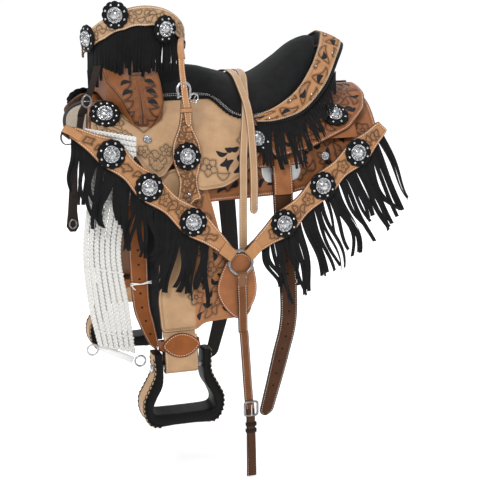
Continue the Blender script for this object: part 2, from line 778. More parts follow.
carved = partial(leather, tooled=True)
waxed = partial(leather, rough=0.46, coat=0.0)
MATERIALS = {
    "tan": carved("tan_leather", TAN, TAN_DARK, lines=(5.0, 7.4), edge=1.2, depth=0.5,
                  edge_colour=(0.10, 0.045, 0.02)),
    "rein": leather("rein_leather", tuple(c * 0.84 for c in TAN), TAN_DARK, edge=1.2,
                    edge_colour=(0.16, 0.07, 0.03)),
    "gold": carved("gold_tooled_leather", GOLD, GOLD_DARK, lines=(5.4,), edge=1.0, depth=0.75,
                   edge_colour=INKED),
    "roll": carved("cantle_roll_leather", GOLD, GOLD_DARK, lines=(8.4,), edge=0.8, depth=0.8),
    "brown": carved("brown_tooled_leather", BROWN, BROWN_DARK, lines=(9.0, 11.0), edge=1.6, depth=0.8),
    "fork": carved("fork_leather", tuple(c * 0.78 for c in BROWN), BROWN_DARK, lines=(4.0,), edge=1.2,
                   depth=0.85),
    "fender": carved("fender_leather", TAN, TAN_DARK, lines=(5.0, 7.2), edge=1.3, zone=BROWN,
                     edge_colour=(0.08, 0.035, 0.015)),
    "brow": carved("browband_leather", (0.49, 0.315, 0.175), (0.30, 0.16, 0.075), lines=(5.4,), edge=1.0,
                   edge_colour=INKED, depth=0.5),
    "strap": leather("strap_leather", GOLD, GOLD_DARK, edge=1.1, edge_colour=(0.03, 0.014, 0.008)),
    "keeper": leather("keeper_leather", BROWN, BROWN_DARK, edge=1.2),
    "oiled": leather("oiled_leather", OILED, OILED_DARK, rough=0.46, edge=1.2, gloss=0.15),
    "dark_strap": waxed("dark_strap_leather", (0.072, 0.030, 0.014), (0.030, 0.012, 0.006), edge=1.2,
                        gloss=0.1),
    "tether": waxed("tie_down_leather", (0.16, 0.060, 0.022), (0.075, 0.026, 0.010), edge=1.2, gloss=0.12),
    "far_cheek": waxed("far_cheek_leather", (0.030, 0.020, 0.016), (0.012, 0.009, 0.008), edge=1.0,
                       gloss=0.1),
    "black": leather("black_leather", (0.0055, 0.0053, 0.0055), (0.0028, 0.0028, 0.003), rough=0.42,
                     bare=True, coat=0.0, gloss=0.09),
    "plain_tan": leather("plain_tan_leather", TAN, TAN_DARK, bare=True),
    "plain_brown": leather("plain_brown_leather", BROWN, BROWN_DARK, bare=True),
    "plain_edge": leather("stirrup_strap_leather", TAN, TAN_DARK, edge=1.4,
                          edge_colour=(0.12, 0.055, 0.025)),
    "suede": suede("black_suede", (0.0042, 0.0043, 0.0046)),
    "fringe": suede("fringe_suede", (0.0034, 0.0034, 0.0037), 700.0),
    "webbing": suede("black_webbing", (0.012, 0.012, 0.013), 500.0),
    "hole": suede("punched_hole", (0.004, 0.003, 0.003)),
    "silver": metal("antiqued_silver", (0.80, 0.80, 0.81), 0.14, 0.72),
    "bright": metal("bright_studs", (0.92, 0.92, 0.93), 0.08, 0.1),
    "crystal": metal("cut_crystal", (0.80, 0.81, 0.84), 0.03, 0.75, 900.0),
    "steel": metal("brushed_steel", (0.56, 0.56, 0.57), 0.30, 0.3),
    "nickel": metal("worn_nickel", (0.36, 0.355, 0.35), 0.22, 0.6),
    "plate": metal("dull_plate", (0.62, 0.62, 0.60), 0.42, 0.15),
    "cotton": cotton("white_cotton", (0.66, 0.65, 0.62)),
    "thread": cotton("white_thread", (0.86, 0.84, 0.79)),
    "fleece": cotton("cream_fleece", (0.40, 0.33, 0.25)),
    "lace": cotton("waxed_lace", (0.52, 0.39, 0.26)),
    "plastic": cotton("white_plastic", (0.80, 0.80, 0.78)),
}


# ------------------------------------------------------------------ tooling patterns

def leaf(x, y, length, width, turn, bend=0.25):
    """A leaf outline with its base at (x, y)."""
    t = np.linspace(0, 1, 11)
    half = width / 2 * np.sin(math.pi * t ** 0.75) ** 0.9
    mid = np.stack([length * t, bend * length * t * (1 - t) * 2], 1)
    upper = mid + np.stack([0 * t, half], 1)
    lower = mid - np.stack([0 * t, half], 1)
    shape = np.vstack([upper, lower[-2:0:-1]])
    c, s = math.cos(turn), math.sin(turn)
    return shape @ np.array([[c, s], [-s, c]]) + np.array([x, y])


def petals(x, y, radius, turn):
    """A five-petalled flower as leaf outlines round a centre, and the centre."""
    shapes = []
    start = radius * 0.28
    for k in range(5):
        a = turn + 2 * math.pi * k / 5
        base = x + start * math.cos(a), y + start * math.sin(a)
        shapes.append(leaf(*base, radius * 0.8, radius * 0.72, a, 0.0))
    t = turns(10)
    shapes.append(np.stack([x + radius * 0.2 * np.cos(t), y + radius * 0.2 * np.sin(t)], 1))
    return shapes


def foliage(rim, margin, gap, size, seed, black=0.3, zone=None):
    """Flowers, each in a wreath of curled leaves, with leaves between: (raised, black inlays)."""
    rng = np.random.default_rng(seed)
    low, high = rim.min(0), rim.max(0)
    spots = low + (high - low) * rng.random((2600, 2))

    def room_at(p):
        room = np.where(inside(p, rim), edge_distance(p, rim), -1.0)
        return room if zone is None else np.where(zone(p), room, -1.0)

    room = room_at(spots)
    flowers, leaves, raised, inlays = [], [], [], []

    def add_leaf(x, y, length, width, turn, bend, dark):
        shape = leaf(x, y, length, width, turn, bend)
        if room_at(shape).min() < margin:
            return
        leaves.append(shape.mean(0))
        (inlays if dark else raised).append(shape)

    for p, d in zip(spots, room):
        if d > margin + size * 0.62 and all(np.hypot(*(p - q)) > gap for q in flowers):
            flowers.append(p)
            spin = rng.random() * 6
            raised += petals(p[0], p[1], size * 0.62, spin)
            way = rng.choice([-1, 1])
            for k in range(8):
                a = spin + 2 * math.pi * k / 8
                x = p[0] + size * 0.78 * math.cos(a)
                y = p[1] + size * 0.78 * math.sin(a)
                add_leaf(x, y, size * 0.85, size * 0.40, a + 0.75 * way, -0.55 * way,
                         rng.random() < black * 1.2)
    for p, d in zip(spots, room):
        if d < margin + 1.5:
            continue
        near = min([np.hypot(*(p - q)) for q in flowers] + [900.0])
        if near < size * 1.2 or any(np.hypot(*(p - q)) < size * 0.62 for q in leaves):
            continue
        turn = 0.5 * math.sin(p[0] / 31.0) + 0.9 * math.sin(p[1] / 23.0) + rng.choice([0.0, math.pi])
        add_leaf(p[0], p[1], size * (0.7 + 0.4 * rng.random()), size * 0.38, turn, 0.5 * rng.choice([-1, 1]),
                 rng.random() < black)
    return raised, inlays


def concho(centre, normal, radius, thick, crown, rise, studs):
    """A scalloped leather rosette under a jewelled silver concho: three meshes."""
    n = unit(np.asarray(normal, float))
    c = np.asarray(centre, float)
    pad = lathe(c, n, [(radius * 0.97, 0), (radius, thick * 0.5), (radius * 0.96, thick * 0.9),
                       (radius * 0.86, thick), (radius * 0.55, thick * 1.05), (radius * 0.2, thick)],
                96, lobes=0.075)
    top = c + n * thick
    profile = [(1, 0), (1, 0.2), (0.93, 0.34), (0.8, 0.3), (0.62, 0.3), (0.56, 0.55), (0.38, 0.85),
               (0.12, 0.97)]
    silver = [lathe(top, n, [(crown * r, rise * h) for r, h in profile], 36)]
    silver += [ball(at, n, 2.7, 2.0) for at in round_spots(top, n, radius * 0.77, studs, 0.5)]
    crystals = [gem(at, n, crown * 0.185, rise * 0.42)
                for at in round_spots(top + n * rise * 0.3, n, crown * 0.78, 12)]
    crystals += [gem(at, n, crown * 0.12, rise * 0.25)
                 for at in round_spots(top + n * rise * 0.62, n, crown * 0.36, 7)]
    return pad, silver, crystals


def conchos(name, body, spots, radius, thick, crown, rise, pair=False, studs=None):
    """All the rosettes of one body, as a leather mesh, a silver mesh and a crystal mesh."""
    pads, silvers, crystals = [], [], []
    for (centre, normal), count in zip(spots, studs or [8] * len(spots)):
        for flip in ((np.ones(3), FLIP_Y) if pair else (np.ones(3),)):
            pad, silver, stones = concho(centre * flip, normal * flip, radius, thick, crown, rise, count)
            pads.append(pad)
            silvers += silver
            crystals += stones
    put_parts(f"{name}_rosettes", body, pads, MATERIALS["black"], nodes=(f"{name}_rosettes",),
              slot="black_leather")
    put_parts(f"{name}_silver", body, silvers, MATERIALS["silver"], nodes=(f"{name}_conchos",), slot="silver")
    put_parts(f"{name}_crystals", body, crystals, MATERIALS["crystal"], slot="crystal", smooth=False)


def fringe(name, body, top, bottom, place, width, count, seed, nodes=(), lift=2.0, waves=4.0, clump=3,
           short=0.22, flip=False, gather=0.45):
    """Cut suede strips that hang from one line to another, in loose clumps with gaps between."""
    rng = np.random.default_rng(seed)
    a = resample(top, 4.0)
    b = resample(bottom, 4.0)
    parts = []
    left = 0
    for i in range(count):
        if left == 0:
            left = int(rng.integers(1, clump + 1))
            centre = (i + left / 2) / count
            drift = rng.normal(0, 0.35 / count)
            swing = rng.normal(0, waves)
            phase = rng.random() * 0.8
            shrink = short * rng.random() ** 1.5
        left -= 1
        u = (i + 0.5) / count
        start = share_of(u, a)
        w = u + (centre - u) * gather + drift * 2 + rng.normal(0, 0.25 / count)
        w = min(max(w, 0.0), 1.0)
        end = share_of(w, b)
        end = start + (end - start) * (1 - shrink - 0.06 * rng.random())
        t = np.linspace(0, 1, 17)
        own = rng.normal(0, waves * 0.45)
        sway = swing * np.sin(math.pi * (t * 1.5 + phase)) * t + own * np.sin(2 * math.pi * t + 3 * phase) * t
        across = np.array([-(end - start)[1], (end - start)[0]])
        across /= max(np.linalg.norm(across), 1e-6)
        line = start + (end - start) * t[:, None] + across * sway[:, None]
        height = lift * (0.15 + 0.35 * (i % 2) + 0.5 * rng.random() * np.sin(math.pi * t))
        path = place(line[:, 0], line[:, 1], height)
        side = place(line[:, 0] + across[0], line[:, 1] + across[1], height) - path
        up = place(line[:, 0], line[:, 1], height + 1.0) - path
        twist = rng.normal(0, 0.75) * t ** 1.5
        side = side * np.cos(twist)[:, None] + up * np.sin(twist)[:, None]
        wide = width * (0.8 + 0.3 * rng.random()) * (1.0 - 0.15 * t)
        parts.append(strap_mesh(path, side, wide, 1.1, 0.2)[:2])
    put_parts(name, body, parts, MATERIALS["fringe"], nodes=nodes, slot="suede", flip=flip)


# ------------------------------------------------------------------ saddle

def layer_outline(points, off, least, radius, spacing):
    """A rounded outline on a layer that stops a little short of the saddle's middle line."""
    base = side_outline(points, off)
    base[:, 1] = np.maximum(base[:, 1], least)
    return rounded(base, radius, spacing)


def build_skirts():
    """The big tooled skirts and the fleece below them."""
    outline = [(-340, 40), (-366, -30), (-362, -62), (-314, -139), (-192, -176), (46, -168), (170, -144),
               (258, -78), (268, 0), (262, 40)]
    rim = layer_outline(outline, SKIRT_OFF, 5.0, 20, 2.6)
    raised, inlays = foliage(rim, 15, 62, 27, 3, 0.42, lambda p: p[:, 1] > 150)
    panel("skirt", "saddle", rim, arch_map(SKIRT_OFF), 4.2, MATERIALS["brown"], ("skirt",), "brown_leather",
          motifs=raised, inlays=inlays, pair=True, stitch=(5.0,), step=3.0)
    fleece_rim = rounded(inset(layer_outline(outline, 0, 5.0, 20, 3.0), 5, 3.0), 2, 3.0)

    def tufts(p, d):
        wave = np.sin(p[:, 0] * 1.1 + 3 * np.sin(p[:, 1] * 0.4))
        return 0.5 * wave * np.sin(p[:, 1] * 1.3 + 2 * np.sin(p[:, 0] * 0.5)) - 0.6

    panel("fleece", "saddle", fleece_rim, arch_map(0.0), 10.0, MATERIALS["fleece"], ("fleece",), "fleece",
          swell=tufts, pair=True, step=3.6, roll=4.0)


def build_jockeys():
    """The seat, front and rear jockeys, from the middle of the saddle to the front and the back."""
    place = arch_map(JOCKEY_OUT)
    at_fork = (ARCH_R + JOCKEY_OUT) * math.radians(19)
    at_rear = (ARCH_R + JOCKEY_OUT) * math.radians(3)
    seat_side = [(-140, 60), (-152, -10), (-162, -60), (-164, -138), (-150, -146), (-101, -142), (-56, -120),
                 (-16, -80), (-12, -30), (-12, 60)]
    rim = layer_outline(seat_side, JOCKEY_OUT, at_fork, 12, 2.2)
    low = float(down(JOCKEY_OUT, -52))
    raised, inlays = foliage(rim, 9, 62, 29, 22, 0.5, lambda p: p[:, 1] > low + 0.55 * (-70 - p[:, 0]))
    panel("seat_jockey", "saddle", rim, place, 4.0, MATERIALS["tan"], ("seat_jockey",),
          "tan_leather", motifs=raised, inlays=inlays, pair=True, step=2.2)
    front = [(-335, 40), (-362, -22), (-350, -42), (-290, -58), (-266, -98), (-244, -116), (-226, -114),
             (-198, -82), (-166, -50), (-155, -5), (-144, 50), (-330, 50)]
    rim = layer_outline(front, JOCKEY_OUT, at_fork, 12, 2.2)
    cut = float(down(JOCKEY_OUT, -60))

    def flower_zone(p):
        return (p[:, 1] > cut) | (p[:, 0] < -290)

    raised, _ = foliage(rim, 8, 46, 20, 8, 0.0, flower_zone)
    raised.append(side_outline([(-326, 50), (-314, 30), (-286, -8), (-254, -32), (-212, -12), (-194, 24),
                                (-190, 50)], JOCKEY_OUT))
    panel("front_jockey", "saddle", rim, place, 4.0, MATERIALS["tan"], ("front_jockey",),
          "tan_leather", motifs=raised, pair=True, step=2.2,
          stamp=lambda p: flower_zone(p).astype(float))
    rear = [(-4, 60), (-4, -60), (14, -92), (91, -78), (189, -44), (238, -10), (256, 15), (256, 60)]
    rim = layer_outline(rear, JOCKEY_OUT, at_rear, 12, 2.4)
    raised, inlays = foliage(rim, 10, 60, 26, 5, 0.4)
    panel("rear_jockey", "saddle", rim, place, 4.0, MATERIALS["brown"], ("rear_jockey",),
          "brown_leather", motifs=raised, inlays=inlays, pair=True, stitch=(4.0,), step=2.4)


FORK_FOOT_R = ARCH_R + 35.5
HORN_X = -262.0


def fork_profile():
    """The fork's outer line across the saddle, from the near foot over the top."""
    turn = math.radians(43)
    foot = (FORK_FOOT_R * math.sin(turn), -ARCH_R + FORK_FOOT_R * math.cos(turn))
    half = [(-foot[0], foot[1]), (-143, -4), (-141, 12), (-106, 66), (-52, 102), (-26, 103.5)]
    line = half + [(0, 104)] + [(-y, z) for y, z in reversed(half)]
    return curve(np.array(line), 2.6)


def build_fork():
    """The leather-covered fork: a solid section carried along the profile."""
    line = fork_profile()
    y, z = line[:, 0], line[:, 1]
    tangent = tangents(line)
    normal = np.stack([-tangent[:, 1], tangent[:, 0]], 1)
    front_x = np.interp(z, [-24, -4, 38, 72, 120], [-262, -274, -292, -316, -318])
    rear_x = np.interp(z, [-24, -6, 28, 120], [-238, -221, -204, -203])
    run = run_of(line)
    cols = 56
    x = front_x[:, None] + (rear_x - front_x)[:, None] * np.linspace(0, 1, cols)
    s = np.broadcast_to(run[:, None], x.shape)
    edge = np.minimum(x - front_x[:, None], rear_x[:, None] - x)
    flat = np.stack([x.ravel(), s.ravel()], 1)
    rim = np.vstack([np.stack([front_x, run], 1), np.stack([rear_x, run], 1)[::-1]])
    rim = resample(rim, 3.0, True)
    raised, inlays = [], []
    for mirror_s in (False, True):
        vine = [np.array([(x - w, 8), (x + w, 8), (x + w + 2, 118), (x - w - 2, 118)], float)
                for x, w in ((-258, 3.2), (-248, 3.2))]
        cuts = []
        for k, s0 in enumerate((28, 52, 76, 100)):
            vine.append(leaf(-264, s0 + 16, 38, 15, 4.0 + 0.08 * k, 0.7))
            vine.append(leaf(-242, s0 + 16, 34, 14, -0.85, -0.7))
            cuts.append(leaf(-266, s0 + 2, 27, 11, 3.55, -0.5))
            cuts.append(leaf(-240, s0 + 2, 24, 11, -0.35, 0.5))
        if mirror_s:
            vine = [shape * [1, -1] + [0, run[-1]] for shape in vine]
            cuts = [shape * [1, -1] + [0, run[-1]] for shape in cuts]
        raised += vine
        inlays += [c for c in cuts if inside(c, rim).all()]
    motif, inlay = field(flat, raised), field(flat, inlays)
    high, sunk = tooled_height(motif, inlay)
    rolled = 6.0 * (1 - np.sqrt(np.maximum(1 - (1 - np.clip(edge / 9.0, 0, 1)) ** 2, 0)))
    h = (-rolled.ravel() + high - sunk).reshape(x.shape) - 1.0
    top = np.stack([x, y[:, None] + normal[:, :1] * h, z[:, None] + normal[:, 1:] * h], -1)
    arch = np.arctan2(y, z + ARCH_R)
    radius = ARCH_R + 35.6
    depth = np.linspace(0, 1, 9)[1:]
    walls = []
    for x_edge, column in ((rear_x, cols - 1), (front_x, 0)):
        foot = np.stack([x_edge, radius * np.sin(arch), -ARCH_R + radius * np.cos(arch)], 1)
        rows = [top[:, column] + (foot - top[:, column]) * d for d in depth]
        walls.append(np.stack(rows, 1))
    ring = np.concatenate([top, walls[0], walls[1][:, ::-1]], 1)
    n_ring = ring.shape[1]
    pad = np.full((len(line), n_ring - cols), FAR)
    attrs = {"edge": np.concatenate([edge, 20 + 0 * pad], 1).ravel(),
             "motif": np.concatenate([motif.reshape(x.shape), pad], 1).ravel(),
             "inlay": np.concatenate([inlay.reshape(x.shape), pad], 1).ravel()}
    faces = [f[::-1] for f in loft_faces(len(line), n_ring)]
    put("fork_cover", "saddle", ring.reshape(-1, 3), faces, MATERIALS["fork"], attrs,
        ("fork_cover", "fork_wood"), "brown_leather")
    profile = [(27, 0), (22, 6), (19.5, 16), (19, 40), (19.5, 60), (24, 68), (36, 70), (39.5, 72), (40, 76),
               (38.5, 81), (33, 83.5), (15, 84.5)]
    put("horn", "saddle", *lathe((HORN_X, 0, 95), (0, 0, 1), profile, 48), MATERIALS["plain_brown"],
        nodes=("horn",), slot="brown_leather")
    rim_line = np.stack([HORN_X + 34 * np.cos(turns(60)), 34 * np.sin(turns(60)), np.full(60, 178.6)], 1)
    stitch_run("saddle", rim_line, np.tile([0, 0, 1.0], (60, 1)), closed=True)


# Along the seat: x, half width, height of the edge, height of the middle.
SEAT_STATIONS = [(-198, 66, 38, 94), (-110, 70, 36, 85), (-80, 100, 25, 78), (-55, 134, 2, 71),
                 (-20, 138, -4, 63), (29, 135, 8, 65), (81, 115, 38, 98), (117, 91, 72, 127),
                 (147, 54, 109, 140), (165, 16, 134, 138)]


def build_seat():
    """The padded suede seat, and the black band round its front."""
    line = curve(np.array(SEAT_STATIONS, float), 3.0)
    v = np.sin(np.linspace(-math.pi / 2, math.pi / 2, 71))
    x, half, edge_z, mid_z = (line[:, k:k + 1] for k in range(4))
    drop = mid_z - edge_z
    radius = (half ** 2 + drop ** 2) / (2 * np.maximum(drop, 1.0))
    y = half * v
    z = mid_z - (radius - np.sqrt(np.maximum(radius ** 2 - y ** 2, 0.0)))
    soft = 1 - np.clip((1 - np.abs(v)) * half / 9.0, 0, 1)
    swell = 1.5 * np.cos(math.pi * v / 2) ** 0.5 * np.sin(math.pi * np.clip((line[:, :1] + 198) / 363, 0, 1))
    top_z = z - 4.5 * (1 - np.sqrt(np.maximum(1 - soft ** 2, 0))) + swell - 1.5
    top = np.stack([x + 0 * y, y, top_z], -1)
    bottom = np.stack([x + 0 * y, y * 0.985, z - 11.0], -1)[:, ::-1]
    ring = np.concatenate([top, bottom], 1)
    faces = loft_faces(len(line), ring.shape[1])
    obj = put("seat", "saddle", ring.reshape(-1, 3), faces, MATERIALS["suede"], nodes=("seat",), slot="suede")
    build_seat_band(line[line[:, 0] < 40])


def build_seat_band(part):
    """The black band from the seat's front edge down to a toothed hem on the jockeys."""
    band_out = JOCKEY_OUT + 4.6
    path = resample(np.stack([part[:, 0], -part[:, 1], part[:, 2] - 3.0], 1), 1.5)
    rows = len(path)
    on_layer = side_outline(path[:, [0, 2]], band_out)
    on_layer[:, 1] = np.maximum(on_layer[:, 1], 64.0)
    place = arch_map(band_out)
    run = np.arange(rows) * 1.5
    teeth = 2.6 * 2 * np.abs((run / 6.5) % 1.0 - 0.5)
    tangent = tangents(on_layer)
    below = np.stack([-tangent[:, 1], tangent[:, 0]], 1)
    below = np.where((below[:, 1] < 0)[:, None], -below, below)
    hem = on_layer + below * (13.0 + teeth)[:, None]
    hem_at = place(hem[:, 0], hem[:, 1], np.zeros(rows))
    hem_out = place(hem[:, 0], hem[:, 1], np.ones(rows)) - hem_at
    span = np.linspace(0, 1, 9)
    bulge = np.sin(math.pi * span) * 1.5
    face = path[:, None] + (hem_at - path)[:, None] * span[None, :, None] + hem_out[:, None] * (
        1.7 + bulge)[None, :, None]
    back = face - hem_out[:, None] * 1.5
    ring = np.concatenate([face, back[:, ::-1]], 1)
    faces = grid_faces(rows, ring.shape[1], closed_cols=True)
    for side, flip in SIDES:
        put(f"seat_band_{side}", "saddle", ring.reshape(-1, 3), faces, MATERIALS["suede"], slot="suede",
            flip=flip)
        for share in (0.32, 0.58):
            row = path + (hem_at - path) * share + hem_out * (2.2 + 1.5 * math.sin(math.pi * share))
            stitch_run("saddle", row, hem_out, flip, 4.4)


# The roll's inner and outer edge, from the near end to the middle.
ROLL_EDGES = [((-24, -148, -13), (-16, -158, -22)), ((29, -147, 9), (30, -161, -23)),
              ((81, -126, 39), (96, -143, -8)), ((119, -101, 77), (151, -124, 38)),
              ((152, -61, 114), (196, -80, 92)), ((172, -20, 141), (226, -28, 114)),
              ((174, 0, 143), (231, 0, 116))]


def build_cantle():
    """The tooled roll on the cantle's rim, its cord lacing, rim binding and back."""
    near = np.array(ROLL_EDGES, float).reshape(-1, 6)
    line = curve(np.vstack([near, near[-2::-1] * np.tile(FLIP_Y, 2)]), 2.2)
    inner, outer = line[:, :3], line[:, 3:]
    middle = (inner + outer) / 2
    run = run_of(middle)
    across = outer - inner
    wide = np.linalg.norm(across, axis=1)
    normal = unit(np.cross(across, np.gradient(middle, axis=0)))
    normal = np.where((normal[:, 2] < 0)[:, None], -normal, normal)
    nominal = 54.0
    ease = np.minimum(wide / nominal, 1.0)

    def place(u, w, h):
        soft = np.interp(u, run, ease)
        share = np.asarray(w) / nominal
        lift = h * (0.45 + 0.55 * soft) + 4.0 * soft * np.sin(math.pi * np.clip(share, 0, 1))
        start = read_at(u, run, inner)
        return (start + (read_at(u, run, outer) - start) * share[..., None]
                + read_at(u, run, normal) * lift[..., None])

    length = run[-1]
    ends = (3, length - 3)

    def band(low, high):
        return resample([(ends[0], low), (ends[1], low), (ends[1], high), (ends[0], high)], 2.4, True)

    raised, inlays = [], []
    count = 12
    for k in range(count):
        u = length * (k + 0.5) / count
        way = 1 if k % 2 else -1
        raised.append(leaf(u - 26, 25 - way * 9, 46, 17, 0.40 * way, 0.5 * way))
        raised.append(leaf(u - 3, 25 - way * 14, 24, 9, 0.12 * way, -0.5 * way))
        inlays.append(leaf(u - 27, 25 + way * 8, 25, 12, 0.12 * way, -0.5 * way))
    panel("cantle_roll", "saddle", band(1.0, nominal - 7), place, 5.0, MATERIALS["roll"], ("cantle_roll",),
          "tooled_leather", motifs=raised, inlays=inlays, step=2.2, roll=2.2)
    panel("cantle_binding", "saddle", band(nominal - 7.4, nominal), place, 4.6, MATERIALS["suede"],
          slot="suede", step=2.4, roll=2.2)
    at = np.arange(8, length - 8, 4.6)
    for share, slope in ((3.6, 1), (nominal - 9.5, -1)):
        tips = [place(at - 2.0 * slope, np.full(len(at), share - 1.9), np.full(len(at), 5.3)),
                place(at + 2.0 * slope, np.full(len(at), share + 1.9), np.full(len(at), 5.3))]
        parts = []
        for a, b in zip(*tips):
            parts.append(tube([a, a + (b - a) * 0.3, a + (b - a) * 0.7, b], [0.5, 0.95, 0.95, 0.5], 6))
        edge_name = "inner" if slope > 0 else "outer"
        put_parts(f"cantle_lacing_{edge_name}", "saddle", parts, MATERIALS["lace"], slot="cotton")
    studs = []
    for k in range(count):
        u, w = length * (k + 0.5) / count + 4.0, 23.0 - (12.0 if k % 2 else -12.0)
        p, q = points_on(place, [(u, w, 5.0), (u, w, 6.0)])
        studs.append(ball(p, q - p, 1.7, 1.4))
    put_parts("cantle_studs", "saddle", studs, MATERIALS["bright"], slot="silver")
    build_cantle_back()
    build_cantle_fringe()


def build_cantle_back():
    """The tooled leather that closes the back of the cantle."""
    foot = -ARCH_R + math.sqrt((ARCH_R + 36) ** 2 - 62 ** 2)
    top = curve(np.array([(-62, 86), (-34, 101), (0, 108), (34, 101), (62, 86)], float), 3)
    base = curve([(62, foot), (34, foot + 13), (0, foot + 18), (-34, foot + 13), (-62, foot)], 3)
    rim = resample(np.vstack([top, base]), 2.6, True)
    raised, inlays = foliage(rim, 8, 46, 20, 9, 0.35)
    panel("cantle_back", "saddle", rim, plane_map((190.5, 0, 0), (0, 1, 0), (1, 0, 0)), 5.0,
          MATERIALS["brown"], ("cantle_back",), "brown_leather", motifs=raised, inlays=inlays, stitch=(4.0,))


def build_cantle_fringe():
    """The fringe that hangs from the roll's outer edge over the jockeys."""
    tops = curve([(-14, -157, -21), (30, -160, -24), (96, -142, -10), (151, -122, 35), (182, -98, 70)], 3.0)
    lower = [(-26, -116), (10, -124), (58, -121), (88, -98), (112, -70), (136, -40), (160, -4), (186, 30)]
    lower = resample(side_outline(lower, FRINGE_OFF), 3.0)
    length, drop = 230.0, 80.0
    base = arch_map(FRINGE_OFF)

    def hang(u, w, h):
        share = np.clip(np.asarray(u) / length, 0, 1)
        a, b = share_of(share, tops), share_of(share, lower)
        foot = base(b[:, 0], b[:, 1], np.asarray(h) + 0.0 * share)
        out = foot - base(b[:, 0], b[:, 1], np.asarray(h) - 1.0 + 0.0 * share)
        fall = (np.asarray(w) / drop)[:, None]
        return a + (foot - a) * fall + out * (np.asarray(h) + 0.0 * share)[:, None] * (1 - fall)

    for side, flip in SIDES:
        fringe(f"cantle_fringe_{side}", "saddle", [(0, 0), (length, 0)], [(0, drop), (length, drop)], hang,
               5.2, 58, 31, () if flip else ("cantle_fringe",), lift=1.6, waves=3.4, clump=4, short=0.3,
               flip=flip)


def on_arch(x, z, off):
    """A point on a layer of the arch and the way that layer faces there."""
    s = float(down(off, z))
    at, out = points_on(arch_map(off), [(x, s, 0), (x, s, 1)])
    return at, out - at


def build_saddle_conchos():
    """The three big rosettes a side, the front one tilted outward, and the small screw conchos."""
    spots = [on_arch(x, z, ROSETTE_OFF) for x, z in ((-326, 1), (-21, -53), (164, -16))]
    at, out = spots[0]
    spots[0] = (at + out * 5.0, out * 0.6 + np.array([-0.25, -0.95, 0.15]) * 0.4)
    spots = [(at, unit(out)) for at, out in spots]
    conchos("saddle", "saddle", spots, 31.0, 4.0, 17.0, 8.0, True, (12, 8, 8))
    silver, stones = [], []
    for x, z in ((-250, -42), (122, -92)):
        for flip in (np.ones(3), FLIP_Y):
            at, out = (part * flip for part in on_arch(x, z, 36.0))
            silver.append(lathe(at, out, [(9, 0), (9, 1.5), (8, 3), (5, 3.4), (1, 3.6)], 24))
            stones += [gem(spot, out, 1.7, 1.8) for spot in round_spots(at + out * 2.6, out, 6.6, 9)]
            stones.append(gem(at + out * 3.2, out, 4.2, 2.4))
    put_parts("screw_conchos", "saddle", silver, MATERIALS["silver"], slot="silver")
    put_parts("screw_crystals", "saddle", stones, MATERIALS["crystal"], slot="crystal", smooth=False)


# ------------------------------------------------------------------ fenders and stirrups

def flank_map(off):
    """(x, v) on the near flank, where a layer of the arch hangs straight, with v up."""
    r = ARCH_R + off
    origin = (0, -r * math.sin(BEND), -ARCH_R + r * math.cos(BEND))
    return plane_map(origin, (1, 0, 0), (0, -math.sin(BEND), math.cos(BEND)))


STRAP_X = -211.0
BOLT_Y, BOLT_Z = -259.765, -495.688


def flank_line(points):
    """(x, v, off) points on the flank as 3-D points."""
    return np.vstack([points_on(flank_map(off), [(x, v, 0)]) for x, v, off in points])


def build_fenders():
    """Fenders, the stirrup leathers below them, and the hobble straps round those."""
    outline = [(-240, -20), (-231, -117), (-251, -218), (-247, -286), (-175, -286), (-156, -272), (-60, -266),
               (-50, -240), (-84, -170), (-110, -106), (-133, 0), (-150, 34), (-180, 46), (-215, 44),
               (-238, 22)]
    rim = rounded(np.array(outline, float), 12, 2.2)
    raised, inlays = foliage(rim, 9, 50, 24, 17, 0.45, lambda p: p[:, 0] > -172)
    panel("fender", "fender", rim, flank_map(FENDER_OFF), 4.0, MATERIALS["fender"], ("fender",),
          "tan_leather", motifs=raised, inlays=inlays, pair=True, step=2.2,
          stamp=lambda p: np.clip((p[:, 0] + 177) / 4.0, 0, 1))
    hanging = flank_line([(STRAP_X, -20, 15.4), (STRAP_X, -150, 15.4), (STRAP_X, -262, 15.4),
                          (STRAP_X, -296, 21)])
    loop = flank_line([(STRAP_X, v, off) for v, off in (
        (-292, 29.0), (-330, 30.2), (-345, 30.4), (-357, 29.4), (-364.5, 26), (-367.2, 21), (-364.5, 16),
        (-357, 12.6), (-345, 11.2), (-304, 11.0))])
    half_band = [(30, 33), (38, 30), (39.5, 20), (38, 9)]
    band = flank_line([(STRAP_X + x, -312, off) for x, off in
                       [(-x, off) for x, off in half_band] + [(0, 6.2)] + half_band[::-1]])
    upward = (0, math.cos(BEND), math.sin(BEND))
    for side, flip in SIDES:
        rides = f"fender_{side}"
        strap(f"stirrup_leather_{side}", rides, hanging, (-1, 0, 0), 68, 3.2, MATERIALS["plain_edge"],
              (f"stirrup_leather_{side}",), flip=flip)
        strap(f"stirrup_loop_{side}", rides, loop, (-1, 0, 0), 70, 2.2, MATERIALS["plain_edge"],
              stitch=(3.5,), flip=flip, spacing=2.5)
        strap(f"hobble_band_{side}", rides, band, upward, 22, 1.4, MATERIALS["oiled"], flip=flip, spacing=2.5)
    t = turns(64)
    lens = np.stack([STRAP_X + 40 * np.cos(t), -312 + 25 * np.sign(np.sin(t)) * np.abs(np.sin(t)) ** 1.6], 1)
    panel("hobble_strap", "fender", resample(lens, 2.2, True), flank_map(32.9), 3.4, MATERIALS["oiled"],
          ("hobble_strap",), "strap_leather", pair=True, stitch=(3.4,),
          swell=lambda p, d: 1.2 * np.clip(d / 18, 0, 1))


# Half of the stirrup's outer line and of its opening, from the top down: distance from the middle, height.
FRAME_HALF = [(60, -462), (58, -503), (72, -535), (83, -560), (80, -592), (62, -612)]
OPENING_HALF = [(43, -462), (43, -521), (58, -552), (66, -574), (58, -586)]
